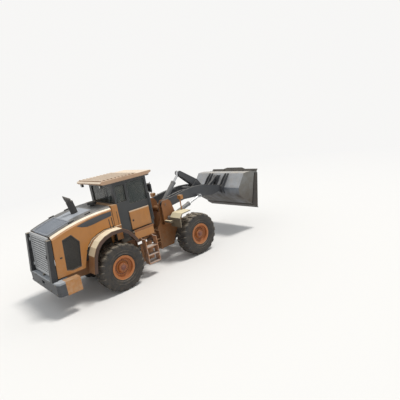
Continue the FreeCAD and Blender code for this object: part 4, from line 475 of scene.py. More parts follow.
# Finish of each material slot; a slot that isn't listed has a finish of its own name
SLOT_FINISH = {
    "orange_paint": "amber_paint",
    "rim_paint": "rim_amber_paint",
    "dark_paint": "charcoal_paint",
    "counterweight_paint": "counterweight_charcoal_paint",
    "cab_paint": "cab_charcoal_paint",
    "roof_paint": "roof_tan_paint",
    "guard_paint": "mudguard_cream_paint",
    "cylinder_paint": "cylinder_grey_paint",
    "grille_paint": "grille_grey_paint",
    "mesh_paint": "mesh_black_paint",
    "engine_iron": "engine_grime_paint",
    "stack_steel": "stack_black_paint",
    "lamp_plastic": "lamp_black_plastic",
    "head_lamp": "amber_paint",
    "cab_glass": "cab_tinted_glass",
    "seat_fabric": "seat_grey_cloth",
    "console_plastic": "console_black_plastic",
}
OWN_FINISH = {
    "engine_door_left": "hood_door_paint",
    "engine_door_right": "hood_door_paint",
    "rear_fenders": "fender_dusty_paint",
    "rear_frame": "frame_dusty_paint",
    "front_frame": "frame_dusty_paint",
    "access_steps": "step_dusty_paint",
    "spill_guard": "guard_black_paint",
    "hood_top": "hood_slate_paint",
    "front_axle": "undercarriage_paint",
    "rear_axle": "undercarriage_paint",
    "cab_platform": "undercarriage_paint",
    "cab_panels": "cab_panel_paint",
}
for name, node in frame["nodes"].items():
    for place in range(len(node.data.materials)):
        slot_name = node.data.materials[place].name.split(".")[0]
        finish = OWN_FINISH.get(name) or SLOT_FINISH.get(slot_name, slot_name)
        node.data.materials[place] = finishes[finish]


# Mesh helpers
def rounded(mesh, edges, radius, segments=2):
    if radius > 0:
        bmesh.ops.bevel(mesh, geom=edges, offset=radius, offset_type="OFFSET", segments=segments,
                        profile=0.5, affect="EDGES", material=-1, clamp_overlap=True)


def block(mesh, low, high, radius=0.004, segments=2):
    """Block between two corners with eased edges."""
    low, high = Vector(low), Vector(high)
    size = high - low
    shape = Matrix.Translation((low + high) / 2) @ Matrix.Diagonal((*size, 1))
    made = bmesh.ops.create_cube(mesh, size=1, matrix=shape)
    edges = list({edge for vert in made["verts"] for edge in vert.link_edges})
    rounded(mesh, edges, min(radius, min(size) * 0.4), segments)


def block_at(mesh, x, y, half, z, radius=0.004, segments=2):
    """Block between two places along and two heights, about a middle place beside."""
    block(mesh, (x[0], y - half, z[0]), (x[1], y + half, z[1]), radius, segments)


def along(start, end):
    """Matrix that lays +Z from start to end, centred between them."""
    start, end = Vector(start), Vector(end)
    turn = (end - start).to_track_quat("Z", "Y").to_matrix().to_4x4()
    return Matrix.Translation((start + end) / 2) @ turn


def rod(mesh, start, end, radius, far_radius=None, segments=20, ends=0.0):
    """Round bar or cone between two points."""
    length = (Vector(end) - Vector(start)).length
    made = bmesh.ops.create_cone(mesh, cap_ends=True, segments=segments, radius1=radius,
                                 radius2=radius if far_radius is None else far_radius,
                                 depth=length, matrix=along(start, end))
    if ends > 0:
        rims = [edge for edge in {e for v in made["verts"] for e in v.link_edges}
                if any(len(face.verts) > 4 for face in edge.link_faces)]
        rounded(mesh, rims, ends)


def bolt(mesh, spot, way, size=0.014, height=0.010):
    """Hexagon head on a washer."""
    washer = 0.003
    spot, way = Vector(spot), Vector(way).normalized()
    rod(mesh, spot, spot + way * washer, size * 1.5, segments=12)
    rod(mesh, spot + way * washer, spot + way * (washer + height), size, size * 0.92, segments=6)


def moved_verts(grown):
    return [v for v in grown["geom"] if isinstance(v, bmesh.types.BMVert)]


def outer_edges(faces):
    """Edges that only one of the faces has."""
    return list({edge for face in faces for edge in face.edges
                 if len([near for near in edge.link_faces if near in faces]) == 1})


def plate(mesh, outline, low, high, radius=0.0):
    """Flat plate from a closed outline of places along and heights, between two places beside."""
    face = mesh.faces.new([mesh.verts.new((x, low, z)) for x, z in outline])
    grown = bmesh.ops.extrude_face_region(mesh, geom=[face])
    bmesh.ops.translate(mesh, vec=(0, high - low, 0), verts=moved_verts(grown))
    if radius > 0:
        rims = [e for f in grown["geom"] if isinstance(f, bmesh.types.BMFace) for e in f.edges]
        rounded(mesh, list(set(rims)) + list(face.edges), radius)


def lathe(mesh, profile, centre, steps=64):
    """Surface turned about the Y direction; the profile lists (place beside, radius)."""
    axis, up = Vector((0, 1, 0)), Vector((0, 0, 1))
    centre = Vector(centre)
    verts = [mesh.verts.new(centre + axis * place + up * radius) for place, radius in profile]
    edges = [mesh.edges.new(pair) for pair in zip(verts, verts[1:])]
    bmesh.ops.spin(mesh, geom=verts + edges, cent=centre, axis=axis, angle=math.tau, steps=steps,
                   use_merge=True, use_duplicate=False, use_normal_flip=False)


def placed(name, data, body, finish):
    """Put a mesh or a curve in the scene as a piece that rides on a body."""
    data.materials.append(finishes[finish])
    made = added(name, data)
    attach(made, body)
    return made


def finished(mesh, name, body, finish, smooth=35, weld=True):
    """Turn a bmesh into a piece that rides on a body."""
    if weld:
        bmesh.ops.remove_doubles(mesh, verts=mesh.verts, dist=0.00005)
    bmesh.ops.recalc_face_normals(mesh, faces=mesh.faces)
    data = bpy.data.meshes.new(name)
    mesh.to_mesh(data)
    mesh.free()
    data.shade_smooth()
    data.set_sharp_from_angle(angle=math.radians(smooth))
    return placed(name, data, body, finish)


def pipe(name, points, radius, body, finish):
    """Bent tube along a smooth line through its points."""
    curve = bpy.data.curves.new(name, "CURVE")
    curve.dimensions = "3D"
    curve.bevel_depth = radius
    curve.bevel_resolution = 4
    curve.use_fill_caps = True
    curve.resolution_u = 8
    spline = curve.splines.new("NURBS")
    spline.points.add(len(points) - 1)
    for target, point in zip(spline.points, points):
        target.co = (*point, 1)
    spline.order_u = 3
    spline.use_endpoint_u = True
    return placed(name, curve, body, finish)


# Wheels
LUGS_A_SIDE = 20
TYRE_STEPS = 96
CARCASS = (
    # beside the wheel's middle, radius
    (0.2165, 0.321),
    (0.2165, 0.372),
    (0.228, 0.380),
    (0.240, 0.400),
    (0.2505, 0.440),
    (0.2580, 0.490),
    (0.2605, 0.5375),
    (0.2600, 0.585),
    (0.2560, 0.625),
    (0.2480, 0.660),
    (0.2360, 0.690),
    (0.2190, 0.708),
    (0.1900, 0.7170),
    (0.1000, 0.7205),
    (0.0, 0.7205),
)
SIDEWALL_RINGS = (
    # three corners, each beside the wheel's middle and radius
    ((0.246, 0.424), (0.256, 0.430), (0.250, 0.438)),
    ((0.254, 0.509), (0.264, 0.515), (0.258, 0.523)),
)
LUG_LINE = (
    # beside the wheel's middle, radius of the lug's face, half length, lead
    (0.012, 0.7465, 0.034, 0.000),
    (0.080, 0.7465, 0.044, 0.006),
    (0.150, 0.7460, 0.052, 0.018),
    (0.205, 0.7400, 0.056, 0.030),
    (0.238, 0.7180, 0.056, 0.034),
    (0.255, 0.6850, 0.050, 0.034),
    (0.258, 0.6500, 0.040, 0.034),
)
LUG_ROOT = 0.04
LUG_SPREAD = 1.16
LUG_SHOULDER = 0.2
SHOULDER_ROOT = 0.02
RIM_FACE = 0.1093
HUB_FACE = 0.2043
NUT_CIRCLES = (
    # count, radius of the circle, beside the wheel's middle, size
    (20, 0.212, RIM_FACE, 0.014),
    (12, 0.112, HUB_FACE, 0.010),
)
HUB_CAP = (
    # beside the wheel's middle, radius
    (HUB_FACE, 0.085),
    (HUB_FACE + 0.012, 0.082),
    (HUB_FACE + 0.014, 0.060),
    (HUB_FACE + 0.030, 0.055),
    (HUB_FACE + 0.036, 0.045),
    (HUB_FACE + 0.036, 0.0001),
)
RIM_RINGS = (
    # steps, then each corner beside the wheel's middle and radius: nut ring, outer lip, hub ring
    (64, ((RIM_FACE, 0.252), (RIM_FACE + 0.012, 0.250), (RIM_FACE + 0.012, 0.238), (RIM_FACE, 0.236))),
    (96, ((0.2355, 0.362), (0.2425, 0.366), (0.2440, 0.371), (0.2330, 0.3735), (0.222, 0.371))),
    (64, ((RIM_FACE + 0.030, 0.1655), (RIM_FACE + 0.034, 0.172), (RIM_FACE + 0.020, 0.186),
          (RIM_FACE, 0.190))),
)


def lug(mesh, way):
    """One tread bar from the crown down over the shoulder."""
    rows = len(LUG_LINE) - 1
    made = bmesh.ops.create_grid(mesh, x_segments=2, y_segments=rows, size=0.5)
    faces = list({face for vert in made["verts"] for face in vert.link_faces})
    for vert in made["verts"]:
        beside, radius, half, lead = LUG_LINE[round((vert.co.y + 0.5) * rows)]
        vert.co = Vector((vert.co.x * 2 * half + lead, beside * way, radius))
    for vert in moved_verts(bmesh.ops.extrude_face_region(mesh, geom=faces)):
        inset = SHOULDER_ROOT * way if vert.co.y * way > LUG_SHOULDER else 0
        vert.co = Vector((vert.co.x * LUG_SPREAD, vert.co.y - inset, vert.co.z - LUG_ROOT))
    rounded(mesh, outer_edges(faces), 0.006, 1)


def tyre(end, side):
    """Carcass and tread bars of one tyre."""
    centre = Vector((AXLE_X[end], TREAD_HALF * SIDES[side], TYRE_RADIUS))
    mesh = bmesh.new()
    for way in (1, -1):
        bars = bmesh.new()
        lug(bars, way)
        data = bpy.data.meshes.new("bar")
        bars.to_mesh(data)
        bars.free()
        offset = 0 if way * SIDES[side] > 0 else 0.5
        for number in range(LUGS_A_SIDE):
            start = len(mesh.verts)
            mesh.from_mesh(data)
            mesh.verts.ensure_lookup_table()
            turn = Matrix.Rotation(math.tau * (number + offset) / LUGS_A_SIDE, 3, "Y")
            bmesh.ops.rotate(mesh, verts=mesh.verts[start:], cent=(0, 0, 0), matrix=turn)
        bpy.data.meshes.remove(data)
    bmesh.ops.translate(mesh, verts=mesh.verts, vec=centre)
    lathe(mesh, CARCASS + tuple((-beside, radius) for beside, radius in CARCASS[-2::-1]), centre,
          TYRE_STEPS)
    for way in (1, -1):
        for ring in SIDEWALL_RINGS:
            lathe(mesh, [(beside * way, radius) for beside, radius in ring], centre, TYRE_STEPS)
    label = "%s_%s" % (end, side)
    made = finished(mesh, "dressed_tyre_" + label, "wheel_" + label, "tyre_rubber", 40)
    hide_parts("tyre_" + label)


def hub_fittings(end, side):
    """Wheel nuts, cover bolts, centre cap and rings in the recess of one rim."""
    hand = SIDES[side]
    centre = Vector((AXLE_X[end], TREAD_HALF * hand, TYRE_RADIUS))
    out = Vector((0, hand, 0))
    label = "%s_%s" % (end, side)
    mesh = bmesh.new()
    for count, radius, face, size in NUT_CIRCLES:
        for number in range(count):
            angle = math.tau * (number + 0.5) / count
            spot = centre + out * face + Vector((math.cos(angle), 0, math.sin(angle))) * radius
            bolt(mesh, spot, out, size, size * 0.9)
    finished(mesh, "wheel_nuts_" + label, "wheel_" + label, "hub_oxblood_paint")
    mesh = bmesh.new()
    lathe(mesh, [(hand * beside, radius) for beside, radius in HUB_CAP], centre, 40)
    finished(mesh, "hub_cap_" + label, "wheel_" + label, "hub_oxblood_paint")
    mesh = bmesh.new()
    for steps, ring in RIM_RINGS:
        lathe(mesh, [(hand * beside, radius) for beside, radius in ring], centre, steps)
    finished(mesh, "hub_rings_" + label, "wheel_" + label, "rim_lip_paint")


for end in AXLE_X:
    for side in SIDES:
        tyre(end, side)
        hub_fittings(end, side)


# Hood and rear
TOP_REAR = Vector((-4.110, 0, 2.266))
TOP_FRONT = Vector((-2.210, 0, 2.606))
CROWN = 0.085
LOUVRE_COUNT = 13
LOUVRE_SPREAD = 1.04
HOOD_STRIPS = (
    # rear, front, right, left, rise, thickness, steps: sides, front and rear of the louvre field
    (-4.09, -3.42, -0.63, -0.57, 0.014, 0.022, 10),
    (-4.09, -3.42, 0.57, 0.63, 0.014, 0.022, 10),
    (-3.44, -3.40, -0.63, 0.63, 0.016, 0.024, 2),
    (-4.10, -4.075, -0.63, 0.63, 0.014, 0.022, 2),
)
TRIM_LOW, TRIM_HIGH = 0.9295, 0.9335
FLASH_DROP = 0.11
FLASH = (
    # along, below the shoulder's lower line: top edge, then bottom edge
    (-3.36, 0.035), (-3.20, 0.030), (-2.95, 0.030), (-2.60, 0.032), (-2.232, 0.035),
    (-2.232, 0.175), (-2.60, 0.205), (-2.85, 0.215), (-3.05, 0.200), (-3.22, 0.130),
)
HEXAGON = (
    # along, height
    (-3.4784, 1.1765), (-3.3718, 1.9005), (-3.5686, 2.1605), (-3.8474, 2.0905), (-3.913, 1.2205),
    (-3.749, 1.1605),
)
CELL = 0.020
CELL_RIM = 0.0060
FIELD_REAR, FIELD_LOW, FIELD_LENGTH, FIELD_HEIGHT = -3.95, 1.13, 0.60, 1.06
SHEET = 0.912
BACKING_LOW, BACKING_HIGH = 0.9015, 0.9045
WINDOW_RIM, WINDOW_FLOOR, WINDOW_LIP = 0.932, 0.906, 0.022
VENT_LEAN = 0.015
VENTS = (
    # middle along, half width, top and bottom below the hood line
    (-2.345, 0.013, 0.36, 0.70),
    (-2.250, 0.013, 0.33, 0.70),
)
LATCHES = (
    # along, height
    (-3.98, 1.62),
    (-3.20, 1.55),
)
GRILLE_FOOT, GRILLE_LOW, GRILLE_LEAN = -4.232, 1.175, 0.0815
SCREEN_WIDTH, SCREEN_HEIGHT, SCREEN_WIRES = 1.37, 1.00, 56
STRIP_FOOT, STRIP_LOW, STRIP_LEAN = -4.239, 1.08, 0.082
REAR_LAMPS = (
    # name, finish, bottom, top
    ("tail_lamps", "lamp_red_lens", 1.62, 1.80),
    ("turn_lamps", "lamp_orange_lens", 1.82, 1.92),
    ("reverse_lamps", "lamp_clear_lens", 1.50, 1.60),
)
WEIGHT_REAR = -4.350
WEIGHT_BOLTS = (
    # beside, height
    (1.05, 0.70), (1.05, 0.97), (0.55, 0.70), (0.55, 0.97),
)
DRAWBAR_X = -4.285


def hood_z(x):
    """Height of the hood's crowned top line."""
    share = (x - TOP_REAR.x) / (TOP_FRONT.x - TOP_REAR.x)
    return TOP_REAR.z + (TOP_FRONT.z - TOP_REAR.z) * share + CROWN * 4 * share * (1 - share)


def draped_strip(mesh, rear, front, right, left, rise, thickness, steps):
    """Strip that follows the hood's top between its limits."""
    made = bmesh.ops.create_grid(mesh, x_segments=steps, y_segments=1, size=0.5)
    faces = list({face for vert in made["verts"] for face in vert.link_faces})
    for vert in made["verts"]:
        x = rear + (vert.co.x + 0.5) * (front - rear)
        vert.co = Vector((x, right + (vert.co.y + 0.5) * (left - right), hood_z(x) + rise))
    grown = bmesh.ops.extrude_face_region(mesh, geom=faces)
    bmesh.ops.translate(mesh, vec=(0, 0, -thickness), verts=moved_verts(grown))
    rounded(mesh, outer_edges(faces), 0.003, 1)


def hood_louvres():
    """Slats and their border on the rear panel of the hood's top."""
    mesh = bmesh.new()
    for number in range(LOUVRE_COUNT):
        y = LOUVRE_SPREAD * (number / (LOUVRE_COUNT - 1) - 0.5)
        draped_strip(mesh, -4.075, -3.45, y - 0.014, y + 0.014, 0.012, 0.02, 10)
    for strip in HOOD_STRIPS:
        draped_strip(mesh, *strip)
    finished(mesh, "hood_louvres", "rear_frame", "louvre_grey_paint")


def side_flash(side):
    """Plain dark flash under the shoulder of a hood door."""
    hand = SIDES[side]
    mesh = bmesh.new()
    outline = [(x, hood_z(x) - FLASH_DROP - drop) for x, drop in FLASH]
    plate(mesh, outline, TRIM_LOW * hand, TRIM_HIGH * hand, 0.0015)
    finished(mesh, "side_flash_" + side, "engine_door_" + side, "charcoal_paint")


def honeycomb(hand):
    """Sheet of hexagonal cells, cut to the window's outline."""
    pitch = CELL * math.sqrt(3)
    mesh = bmesh.new()
    upright = Matrix.Rotation(math.pi / 2, 4, "X") @ Matrix.Rotation(math.pi / 6, 4, "Z")
    for row in range(int(FIELD_HEIGHT / (CELL * 1.5)) + 2):
        for column in range(int(FIELD_LENGTH / pitch) + 2):
            x = FIELD_REAR + (column + 0.5 * (row % 2)) * pitch
            spot = Matrix.Translation((x, SHEET * hand, FIELD_LOW + row * CELL * 1.5))
            bmesh.ops.create_circle(mesh, cap_ends=True, segments=6, radius=CELL, matrix=spot @ upright)
    bmesh.ops.remove_doubles(mesh, verts=mesh.verts, dist=0.002)
    inner = bmesh.ops.inset_individual(mesh, faces=mesh.faces[:], thickness=CELL_RIM,
                                       use_even_offset=True)
    rims = set(inner["faces"])
    bmesh.ops.delete(mesh, geom=[f for f in mesh.faces if f not in rims], context="FACES_ONLY")
    middle = window_middle()
    centre = Vector((middle.x, SHEET * hand, middle.y))
    for (ax, az), (bx, bz) in zip(HEXAGON, HEXAGON[1:] + HEXAGON[:1]):
        spot = Vector((ax, SHEET * hand, az))
        out = Vector((bz - az, 0, ax - bx)).normalized()
        if (centre - spot).dot(out) > 0:
            out = -out
        bmesh.ops.bisect_plane(mesh, geom=mesh.verts[:] + mesh.edges[:] + mesh.faces[:],
                               dist=0.00001, plane_co=spot, plane_no=out, clear_outer=True)
    bmesh.ops.recalc_face_normals(mesh, faces=mesh.faces)
    bmesh.ops.solidify(mesh, geom=mesh.faces[:], thickness=0.006)
    return mesh


def window_middle():
    return Vector([sum(corner[axis] for corner in HEXAGON) / len(HEXAGON) for axis in (0, 1)])


def mesh_window(side):
    """Honeycomb sheet in a door's window, with a dark backing that is painted shade behind the mesh,
    and its frame.
    """
    hand, door = SIDES[side], "engine_door_" + side
    made = finished(honeycomb(hand), "honeycomb_" + side, door, "mesh_black_paint", 30)
    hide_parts("door_mesh_" + side)
    mesh = bmesh.new()
    # The black backing sheet stands for the shade behind the mesh.
    plate(mesh, HEXAGON, BACKING_LOW * hand, BACKING_HIGH * hand)
    finished(mesh, "honeycomb_backing_" + side, door, "recess_black_paint")
    mesh = bmesh.new()
    outer = [Vector(corner) for corner in HEXAGON]
    inner = [p + (window_middle() - p).normalized() * WINDOW_LIP for p in outer]
    loops = [[mesh.verts.new((p.x, beside * hand, p.y)) for p in corners]
             for corners, beside in ((outer, WINDOW_RIM), (inner, WINDOW_RIM), (inner, WINDOW_FLOOR))]
    for first, second in zip(loops, loops[1:]):
        for index in range(len(HEXAGON)):
            after = (index + 1) % len(HEXAGON)
            mesh.faces.new((first[index], first[after], second[after], second[index]))
    bmesh.ops.recalc_face_normals(mesh, faces=mesh.faces)
    bmesh.ops.solidify(mesh, geom=mesh.faces[:], thickness=0.004)
    finished(mesh, "mesh_window_frame_" + side, door, "mesh_black_paint")


def door_vents(side):
    """Narrow upright vents near the front of a hood door, drawn as dark strips of painted shade, and
    its latches.
    """
    hand = SIDES[side]
    mesh = bmesh.new()
    # Each vent is a flat dark strip standing for the shade in a slot.
    for x, half, top, bottom in VENTS:
        z1, z0 = hood_z(x) - top, hood_z(x) - bottom
        plate(mesh, [(x - half, z0), (x + half, z0), (x + half - VENT_LEAN, z1),
                     (x - half - VENT_LEAN, z1)],
              TRIM_LOW * hand, TRIM_HIGH * hand, 0.0015)
    for x, z in LATCHES:
        block(mesh, (x - 0.035, 0.930 * hand - 0.004, z - 0.02),
              (x + 0.035, 0.930 * hand + 0.008, z + 0.02), 0.003)
    finished(mesh, "door_vents_" + side, "engine_door_" + side, "recess_black_paint")


def grille_screen():
    """Fine wire screen behind the slats of the rear grille."""
    mesh = bmesh.new()
    foot = GRILLE_FOOT
    head = GRILLE_FOOT + GRILLE_LEAN * SCREEN_HEIGHT
    low, high = GRILLE_LOW, GRILLE_LOW + SCREEN_HEIGHT
    plate(mesh, [(foot, low), (foot + 0.004, low), (head + 0.004, high), (head, high)],
          -SCREEN_WIDTH / 2, SCREEN_WIDTH / 2)
    for number in range(SCREEN_WIRES):
        y = SCREEN_WIDTH * ((number + 0.5) / SCREEN_WIRES - 0.5)
        rod(mesh, (foot - 0.002, y, low), (head - 0.002, y, high), 0.0025, segments=6)
    finished(mesh, "grille_screen", "rear_grille", "grille_screen_paint", weld=False)


def rear_fittings():
    """Lamps in the corner strips, the grille latch, and the counterweight's bolts and drawbar pin."""
    for name, finish, low, high in REAR_LAMPS:
        mesh = bmesh.new()
        x0, x1 = (STRIP_FOOT + (z - STRIP_LOW) * STRIP_LEAN for z in (low, high))
        for hand in (1, -1):
            plate(mesh, [(x0 - 0.012, low), (x0 + 0.02, low), (x1 + 0.02, high), (x1 - 0.012, high)],
                  0.80 * hand, 0.925 * hand, 0.004)
        finished(mesh, name, "rear_frame", finish)
    mesh = bmesh.new()
    for hand in (1, -1):
        for y, z in WEIGHT_BOLTS:
            bolt(mesh, (WEIGHT_REAR, y * hand, z), (-1, 0, 0), 0.022, 0.016)
    rod(mesh, (DRAWBAR_X, 0, 1.028), (DRAWBAR_X, 0, 1.075), 0.034, ends=0.004)
    rod(mesh, (DRAWBAR_X, -0.06, 1.062), (DRAWBAR_X, 0.06, 1.062), 0.011, ends=0.003)
    finished(mesh, "counterweight_bolts", "rear_frame", "bolt_steel")
    mesh = bmesh.new()
    block(mesh, (-4.255, -0.62, 1.60), (-4.215, -0.54, 1.74), 0.008)
    block(mesh, (-4.268, -0.595, 1.62), (-4.25, -0.565, 1.72), 0.005)
    finished(mesh, "grille_latch", "rear_grille", "lamp_black_plastic")


def side_seams():
    """Dark joints beside the hood doors and down the tank, and the right panel's handle."""
    mesh = bmesh.new()
    for hand in (1, -1):
        block_at(mesh, (-2.209, -2.181), 0.84 * hand, 0.055, (1.10, 2.44), 0.002)
        block_at(mesh, (-2.048, -2.034), 0.906 * hand, 0.0025, (1.92, 2.40), 0.001)
    block_at(mesh, (-1.565, -1.515), -0.930, 0.010, (1.925, 1.985), 0.004)
    finished(mesh, "side_seams", "rear_frame", "recess_black_paint", weld=False)


def inner_plates():
    """Plates behind the steps, the strip between the right panels, and shields beside the engine."""
    mesh = bmesh.new()
    for hand in (1, -1):
        block_at(mesh, (-1.43, -0.974), 0.82 * hand, 0.005, (0.46, 1.08), 0.003)
    block_at(mesh, (-1.575, -0.835), -0.915, 0.004, (1.548, 1.625), 0.002)
    finished(mesh, "step_back_plates", "rear_frame", "frame_dusty_paint")
    mesh = bmesh.new()
    for hand in (1, -1):
        block_at(mesh, (-2.78, -1.98), 0.44 * hand, 0.006, (1.12, 2.10), 0.003)
    finished(mesh, "engine_bay_shields", "rear_frame", "undercarriage_paint")


hood_louvres()
for side in SIDES:
    side_flash(side)
    door_vents(side)
    mesh_window(side)
grille_screen()
rear_fittings()
side_seams()
inner_plates()


# Cab
END_PANES = (
    # along, half width, bottom, top: windscreen and rear window
    (-0.755, 0.64, 1.90, 3.16),
    (-1.925, 0.64, 2.60, 3.14),
)
SIDE_PANES = (
    # beside, rear, front, bottom, top
    (-0.775, -1.46, -0.80, 2.46, 3.16),
    (-0.775, -1.89, -1.55, 2.60, 3.14),
    (0.775, -1.89, -1.55, 2.60, 3.14),
)
DOOR_PANE = (0.794, -1.41, -0.86, 2.16, 3.10)
FRONT_ROOF_LAMPS = (-0.62, -0.34, 0.34, 0.62)
REAR_ROOF_LAMPS = (-0.66, 0.66)
MIRROR_X = -0.60
MIRROR_RODS = (
    # start, end, radius, eased ends: two arms and the upright
    ((-0.73, 0.74, 2.95), (MIRROR_X, 0.80, 2.93), 0.011, 0.0),
    ((-0.73, 0.74, 2.62), (MIRROR_X, 0.80, 2.66), 0.011, 0.0),
    ((MIRROR_X, 0.80, 2.60), (MIRROR_X, 0.80, 2.98), 0.013, 0.004),
)
WIPER_RODS = (
    # start, end, radius: arm, blade and spindle in front, arm and blade behind
    ((-0.715, 0.06, 1.86), (-0.700, 0.30, 2.56), 0.008),
    ((-0.706, 0.30, 2.24), (-0.706, 0.30, 2.86), 0.007),
    ((-0.725, 0.06, 1.86), (-0.695, 0.06, 1.86), 0.022),
    ((-1.965, -0.06, 2.56), (-1.975, -0.26, 2.84), 0.007),
    ((-1.972, -0.26, 2.66), (-1.972, -0.26, 3.02), 0.006),
)
PADS = (
    # name, low corner, high corner, crown, fill, axis that swells, sewn channels
    ("seat_cushion", (-1.545, -0.245, 1.885), (-1.075, 0.245, 2.00), 0.10, 0.6, 2, (-0.45, 0.1)),
    ("seat_back", (-1.645, -0.235, 1.975), (-1.545, 0.235, 2.545), 0.10, 0.6, 0, ()),
    ("seat_head", (-1.640, -0.145, 2.565), (-1.570, 0.145, 2.715), 0.10, 0.7, 0, ()),
    ("armrest_left", (-1.535, 0.264, 2.175), (-1.205, 0.328, 2.228), 0.08, 0.8, 2, ()),
    ("armrest_right", (-1.535, -0.328, 2.175), (-1.205, -0.264, 2.228), 0.08, 0.8, 2, ()),
)
BELLOWS_FOLDS = 6
BELLOWS_LOW, BELLOWS_FOLD = 1.62, 0.040


def seal(mesh, corners, width=0.012):
    """Rubber seal around a pane, following its corners."""
    for start, end in zip(corners, corners[1:] + corners[:1]):
        rod(mesh, start, end, width, segments=8)
        bmesh.ops.create_uvsphere(mesh, u_segments=8, v_segments=6, radius=width,
                                  matrix=Matrix.Translation(start))


def side_corners(beside, rear, front, bottom, top):
    return [(rear, beside, bottom), (front, beside, bottom), (front, beside, top), (rear, beside, top)]


def cab_seals():
    """Seals round the panes and the door's glass, and the door's handle."""
    mesh = bmesh.new()
    for x, half, low, high in END_PANES:
        seal(mesh, [(x, -half, low), (x, half, low), (x, half, high), (x, -half, high)])
    for pane in SIDE_PANES:
        seal(mesh, side_corners(*pane))
    finished(mesh, "window_seals", "rear_frame", "seal_rubber", weld=False)
    mesh = bmesh.new()
    seal(mesh, side_corners(*DOOR_PANE), 0.010)
    finished(mesh, "door_seal", "cab_door", "seal_rubber", weld=False)
    mesh = bmesh.new()
    block(mesh, (-0.90, 0.80, 2.02), (-0.84, 0.822, 2.10), 0.006)
    rod(mesh, (-0.99, 0.832, 2.06), (-0.86, 0.832, 2.06), 0.009, ends=0.003)
    for x in (-0.98, -0.87):
        rod(mesh, (x, 0.80, 2.06), (x, 0.832, 2.06), 0.007)
    finished(mesh, "door_handle", "cab_door", "lamp_black_plastic")


def roof_details():
    """Lamps under the roof's ends and the rain rims along its sides."""
    mesh = bmesh.new()
    for y in FRONT_ROOF_LAMPS:
        block_at(mesh, (-0.60, -0.53), y, 0.075, (3.195, 3.285), 0.010)
    for y in REAR_ROOF_LAMPS:
        block_at(mesh, (-2.285, -2.22), y, 0.07, (3.17, 3.26), 0.010)
    for y in (-0.845, 0.845):
        block_at(mesh, (-2.20, -0.60), y, 0.012, (3.232, 3.256), 0.004)
    finished(mesh, "roof_lamp_housings", "rear_frame", "lamp_black_plastic")
    mesh = bmesh.new()
    for y in FRONT_ROOF_LAMPS:
        rod(mesh, (-0.532, y, 3.238), (-0.520, y, 3.238), 0.036, 0.033, ends=0.003)
    for y in REAR_ROOF_LAMPS:
        rod(mesh, (-2.283, y, 3.213), (-2.294, y, 3.213), 0.034, 0.031, ends=0.003)
    finished(mesh, "roof_lamp_lenses", "rear_frame", "lamp_clear_lens")


def cab_fittings():
    """Mirrors folded in on their arms, and the wipers."""
    mesh = bmesh.new()
    for hand in (1, -1):
        for start, end, radius, ends in MIRROR_RODS:
            rod(mesh, (start[0], start[1] * hand, start[2]), (end[0], end[1] * hand, end[2]), radius,
                ends=ends)
        block_at(mesh, (MIRROR_X - 0.015, MIRROR_X + 0.045), 0.72 * hand, 0.10, (2.63, 2.91), 0.022, 3)
    for start, end, radius in WIPER_RODS:
        rod(mesh, start, end, radius)
    finished(mesh, "cab_mirrors_and_wipers", "rear_frame", "lamp_black_plastic")


def cushion(name, low, high, crown, fill, axis, channels):
    """Crowned pad whose sides pull in between its corners, with sewn channels across it."""
    low, high = Vector(low), Vector(high)
    mesh = bmesh.new()
    bmesh.ops.create_cube(mesh, size=1)
    bmesh.ops.subdivide_edges(mesh, edges=mesh.edges, cuts=11, use_grid_fill=True)
    flat = [a for a in range(3) if a != axis]
    for vert in mesh.verts:
        u, v = vert.co[flat[0]] * 2, vert.co[flat[1]] * 2
        swell = (1 - u ** 4) * (1 - v ** 4)
        vert.co[axis] *= 0.72 + 0.28 * swell
        vert.co[flat[0]] *= 1 - 0.05 * (1 - abs(v)) * abs(u) ** 3
        vert.co[flat[1]] *= 1 - 0.05 * (1 - abs(u)) * abs(v) ** 3
        if vert.co[axis] > 0:
            vert.co[axis] += crown * swell
            for place in channels:
                vert.co[axis] -= 0.10 * math.exp(-((u - place) / 0.06) ** 2) * swell ** 0.5
    bmesh.ops.scale(mesh, vec=high - low, verts=mesh.verts)
    bmesh.ops.translate(mesh, vec=(low + high) / 2, verts=mesh.verts)
    made = finished(mesh, name, "rear_frame", "seat_grey_cloth", 180)
    soft = made.modifiers.new("rounding", "SUBSURF")
    soft.levels = soft.render_levels = 2
    return made


def seat():
    """Suspended operator's seat: padded cushions on a bellows base with armrests."""
    pieces = [cushion(*pad) for pad in PADS]
    mesh = bmesh.new()
    block(mesh, (-1.47, -0.165, 1.565), (-1.21, 0.165, 1.62), 0.008)
    for number in range(BELLOWS_FOLDS):
        z = BELLOWS_LOW + number * BELLOWS_FOLD
        inset = 0.012 * (number % 2)
        block_at(mesh, (-1.46 + inset, -1.22 - inset), 0, 0.155, (z, z + BELLOWS_FOLD), 0.014)
    block(mesh, (-1.50, -0.19, 1.858), (-1.11, 0.19, 1.890), 0.008)
    for hand in (1, -1):
        block_at(mesh, (-1.555, -1.525), 0.27 * hand, 0.018, (1.94, 2.18), 0.006)
        rod(mesh, (-1.60, 0.07 * hand, 2.50), (-1.60, 0.07 * hand, 2.60), 0.008)
    pieces.append(finished(mesh, "seat_base", "rear_frame", "console_black_plastic"))
    for made in pieces:
        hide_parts("operator_seat")


cab_seals()
roof_details()
cab_fittings()
seat()


# Front end
HEAD_LAMP_Y = 0.85
LAMP_LOW, LAMP_HIGH = 2.102, 2.238
STEP_HEIGHTS = (0.46, 0.73, 1.00)
STUD_ROWS, STUDS_A_ROW = 3, 7
BOOM_PIN = (0.020, 0.575, 2.020)
OIL_LINE = (
    # along, height
    (0.28, 2.20), (0.62, 2.262), (0.95, 2.285), (1.15, 2.27), (1.30, 2.22),
)
OIL_LINES_Y = (0.405, 0.377)
CLAMPS = (
    # along, height
    (0.45, 2.232),
    (0.95, 2.283),
)


